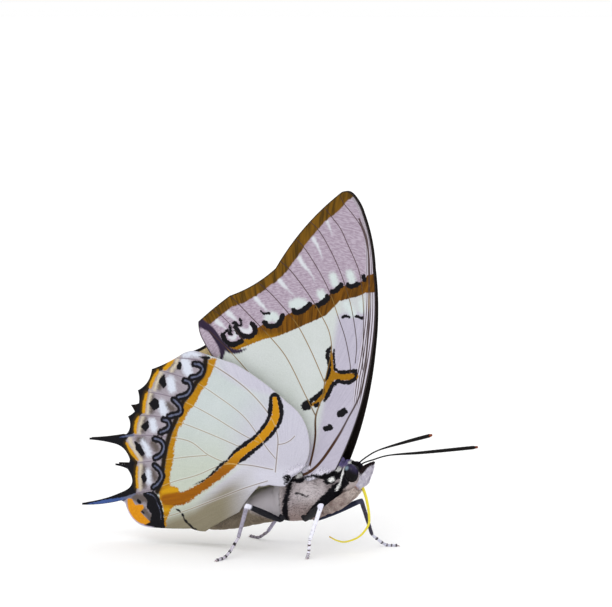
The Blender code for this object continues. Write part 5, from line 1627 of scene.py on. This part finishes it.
def dress_limbs(random):
    """The coats of palps, forelegs and the wings' roots."""
    palp = fur_material("palp_coat_fur", palp_tones)
    foreleg = fur_material("foreleg_coat_fur", foreleg_tones)
    root = fur_material("wing_root_fur", root_tones)

    def up_palp(spots):
        return np.tile([0.5, 0.0, 1.0], (len(spots), 1))

    def along_foreleg(spots):
        return np.tile([-0.8, 0.0, -0.5], (len(spots), 1))

    def off_wing(spots):
        x, _, z = spots.T
        return np.stack([(x - 1.5) * 0.4 - 0.5, 0.0 * x, np.abs(z - 13.0) * 0.5 + 0.4], 1)

    def add_coat(part, name, count, length, width, lie, lift, weight, marks, place, material):
        skin = bpy.data.objects[f"{part}_skin"]
        coat(name, skin, count, constant(length), constant(width), lie, constant(lift), weight, marks, place,
             material, random)

    for side_name, _ in SIDES:
        part = f"palp_{side_name}"
        add_coat(part, f"{part}_coat", PALP_TUFTS, PALP_LENGTH, PALP_WIDTH, up_palp, PALP_LIFT,
                 constant(1), palp_marks, limb_place, palp)
        part = f"foreleg_{side_name}"
        add_coat(part, f"{part}_coat", FORELEG_TUFTS, FORELEG_LENGTH, FORELEG_WIDTH, along_foreleg,
                 FORELEG_LIFT, constant(1), foreleg_marks, limb_place, foreleg)
        for kind in ("forewing", "hindwing"):
            part = f"{kind}_{side_name}"
            add_coat(part, f"{part}_root_coat", ROOT_TUFTS, ROOT_LENGTH, ROOT_WIDTH, off_wing,
                     ROOT_LIFT, wing_root_weight, wing_root_marks, body_place, root)


def make_insect():
    """The body with its head and limbs."""
    random = np.random.default_rng(SEED)
    eye_material()
    limb_materials()
    skin = make_body()
    make_proboscis()
    for side_name, side in SIDES:
        make_eye(f"eye_{side_name}", side)
        make_palp(f"palp_{side_name}", side)
        make_antenna(f"antenna_{side_name}", side, ANTENNA_LEFT if side == LEFT else ANTENNA_RIGHT)
        make_foreleg(f"foreleg_{side_name}", side)
    for name, (side, *joints) in LEGS.items():
        make_leg(name, side, joints, random)
    dress_body(skin, random)
    dress_limbs(random)


# Stage


def set_stage():
    """A wide white floor, a bright even sky and soft lights."""
    bpy.ops.mesh.primitive_plane_add(size=FLOOR_SIZE, location=(0.0, 0.0, 0.0))
    floor = bpy.context.object
    floor.name = "floor"
    paint = Paint("floor", 0.9)
    paint.colour(paint.mix(paint.noise(3.0), rgb(*FLOOR_TONES[0]), rgb(*FLOOR_TONES[1])))
    paint.shader.inputs["Specular IOR Level"].default_value = 0.1
    floor.data.materials.append(paint.material)
    world = bpy.data.worlds.new("studio")
    world.use_nodes = True
    sky = world.node_tree.nodes["Background"]
    sky.inputs["Color"].default_value = (1.0, 1.0, 1.0, 1.0)
    sky.inputs["Strength"].default_value = 1.0
    bpy.context.scene.world = world
    for name, (place, spread, power) in LIGHTS.items():
        data = bpy.data.lights.new(name, "SUN")
        data.angle, data.energy = math.radians(spread), power
        lamp = bpy.data.objects.new(name, data)
        lamp.location = place
        lamp.rotation_euler = (-Vector(place)).to_track_quat("-Z", "Y").to_euler()
        bpy.context.scene.collection.objects.link(lamp)
    bpy.context.scene.view_settings.view_transform = "Standard"


def set_camera():
    """The camera at the photograph's angle."""
    level = math.cos(VIEW_ELEVATION)
    back = Vector((math.sin(VIEW_AZIMUTH) * level, -math.cos(VIEW_AZIMUTH) * level, math.sin(VIEW_ELEVATION)))
    across = Vector((math.cos(VIEW_AZIMUTH), math.sin(VIEW_AZIMUTH), 0.0))
    up = back.cross(across)
    data = bpy.data.cameras.new("camera")
    data.lens, data.sensor_width = LENS, SENSOR
    data.clip_start, data.clip_end = CLIP_START, CLIP_END
    camera = bpy.data.objects.new("camera", data)
    camera.location = (ORIGIN + back * CAMERA_DISTANCE + across * AIM_ACROSS + up * AIM_UP) * MM
    camera.rotation_euler = (-back).to_track_quat("-Z", "Y").to_euler()
    bpy.context.scene.collection.objects.link(camera)
    bpy.context.scene.camera = camera


dress_wings()
make_insect()
set_stage()
set_camera()
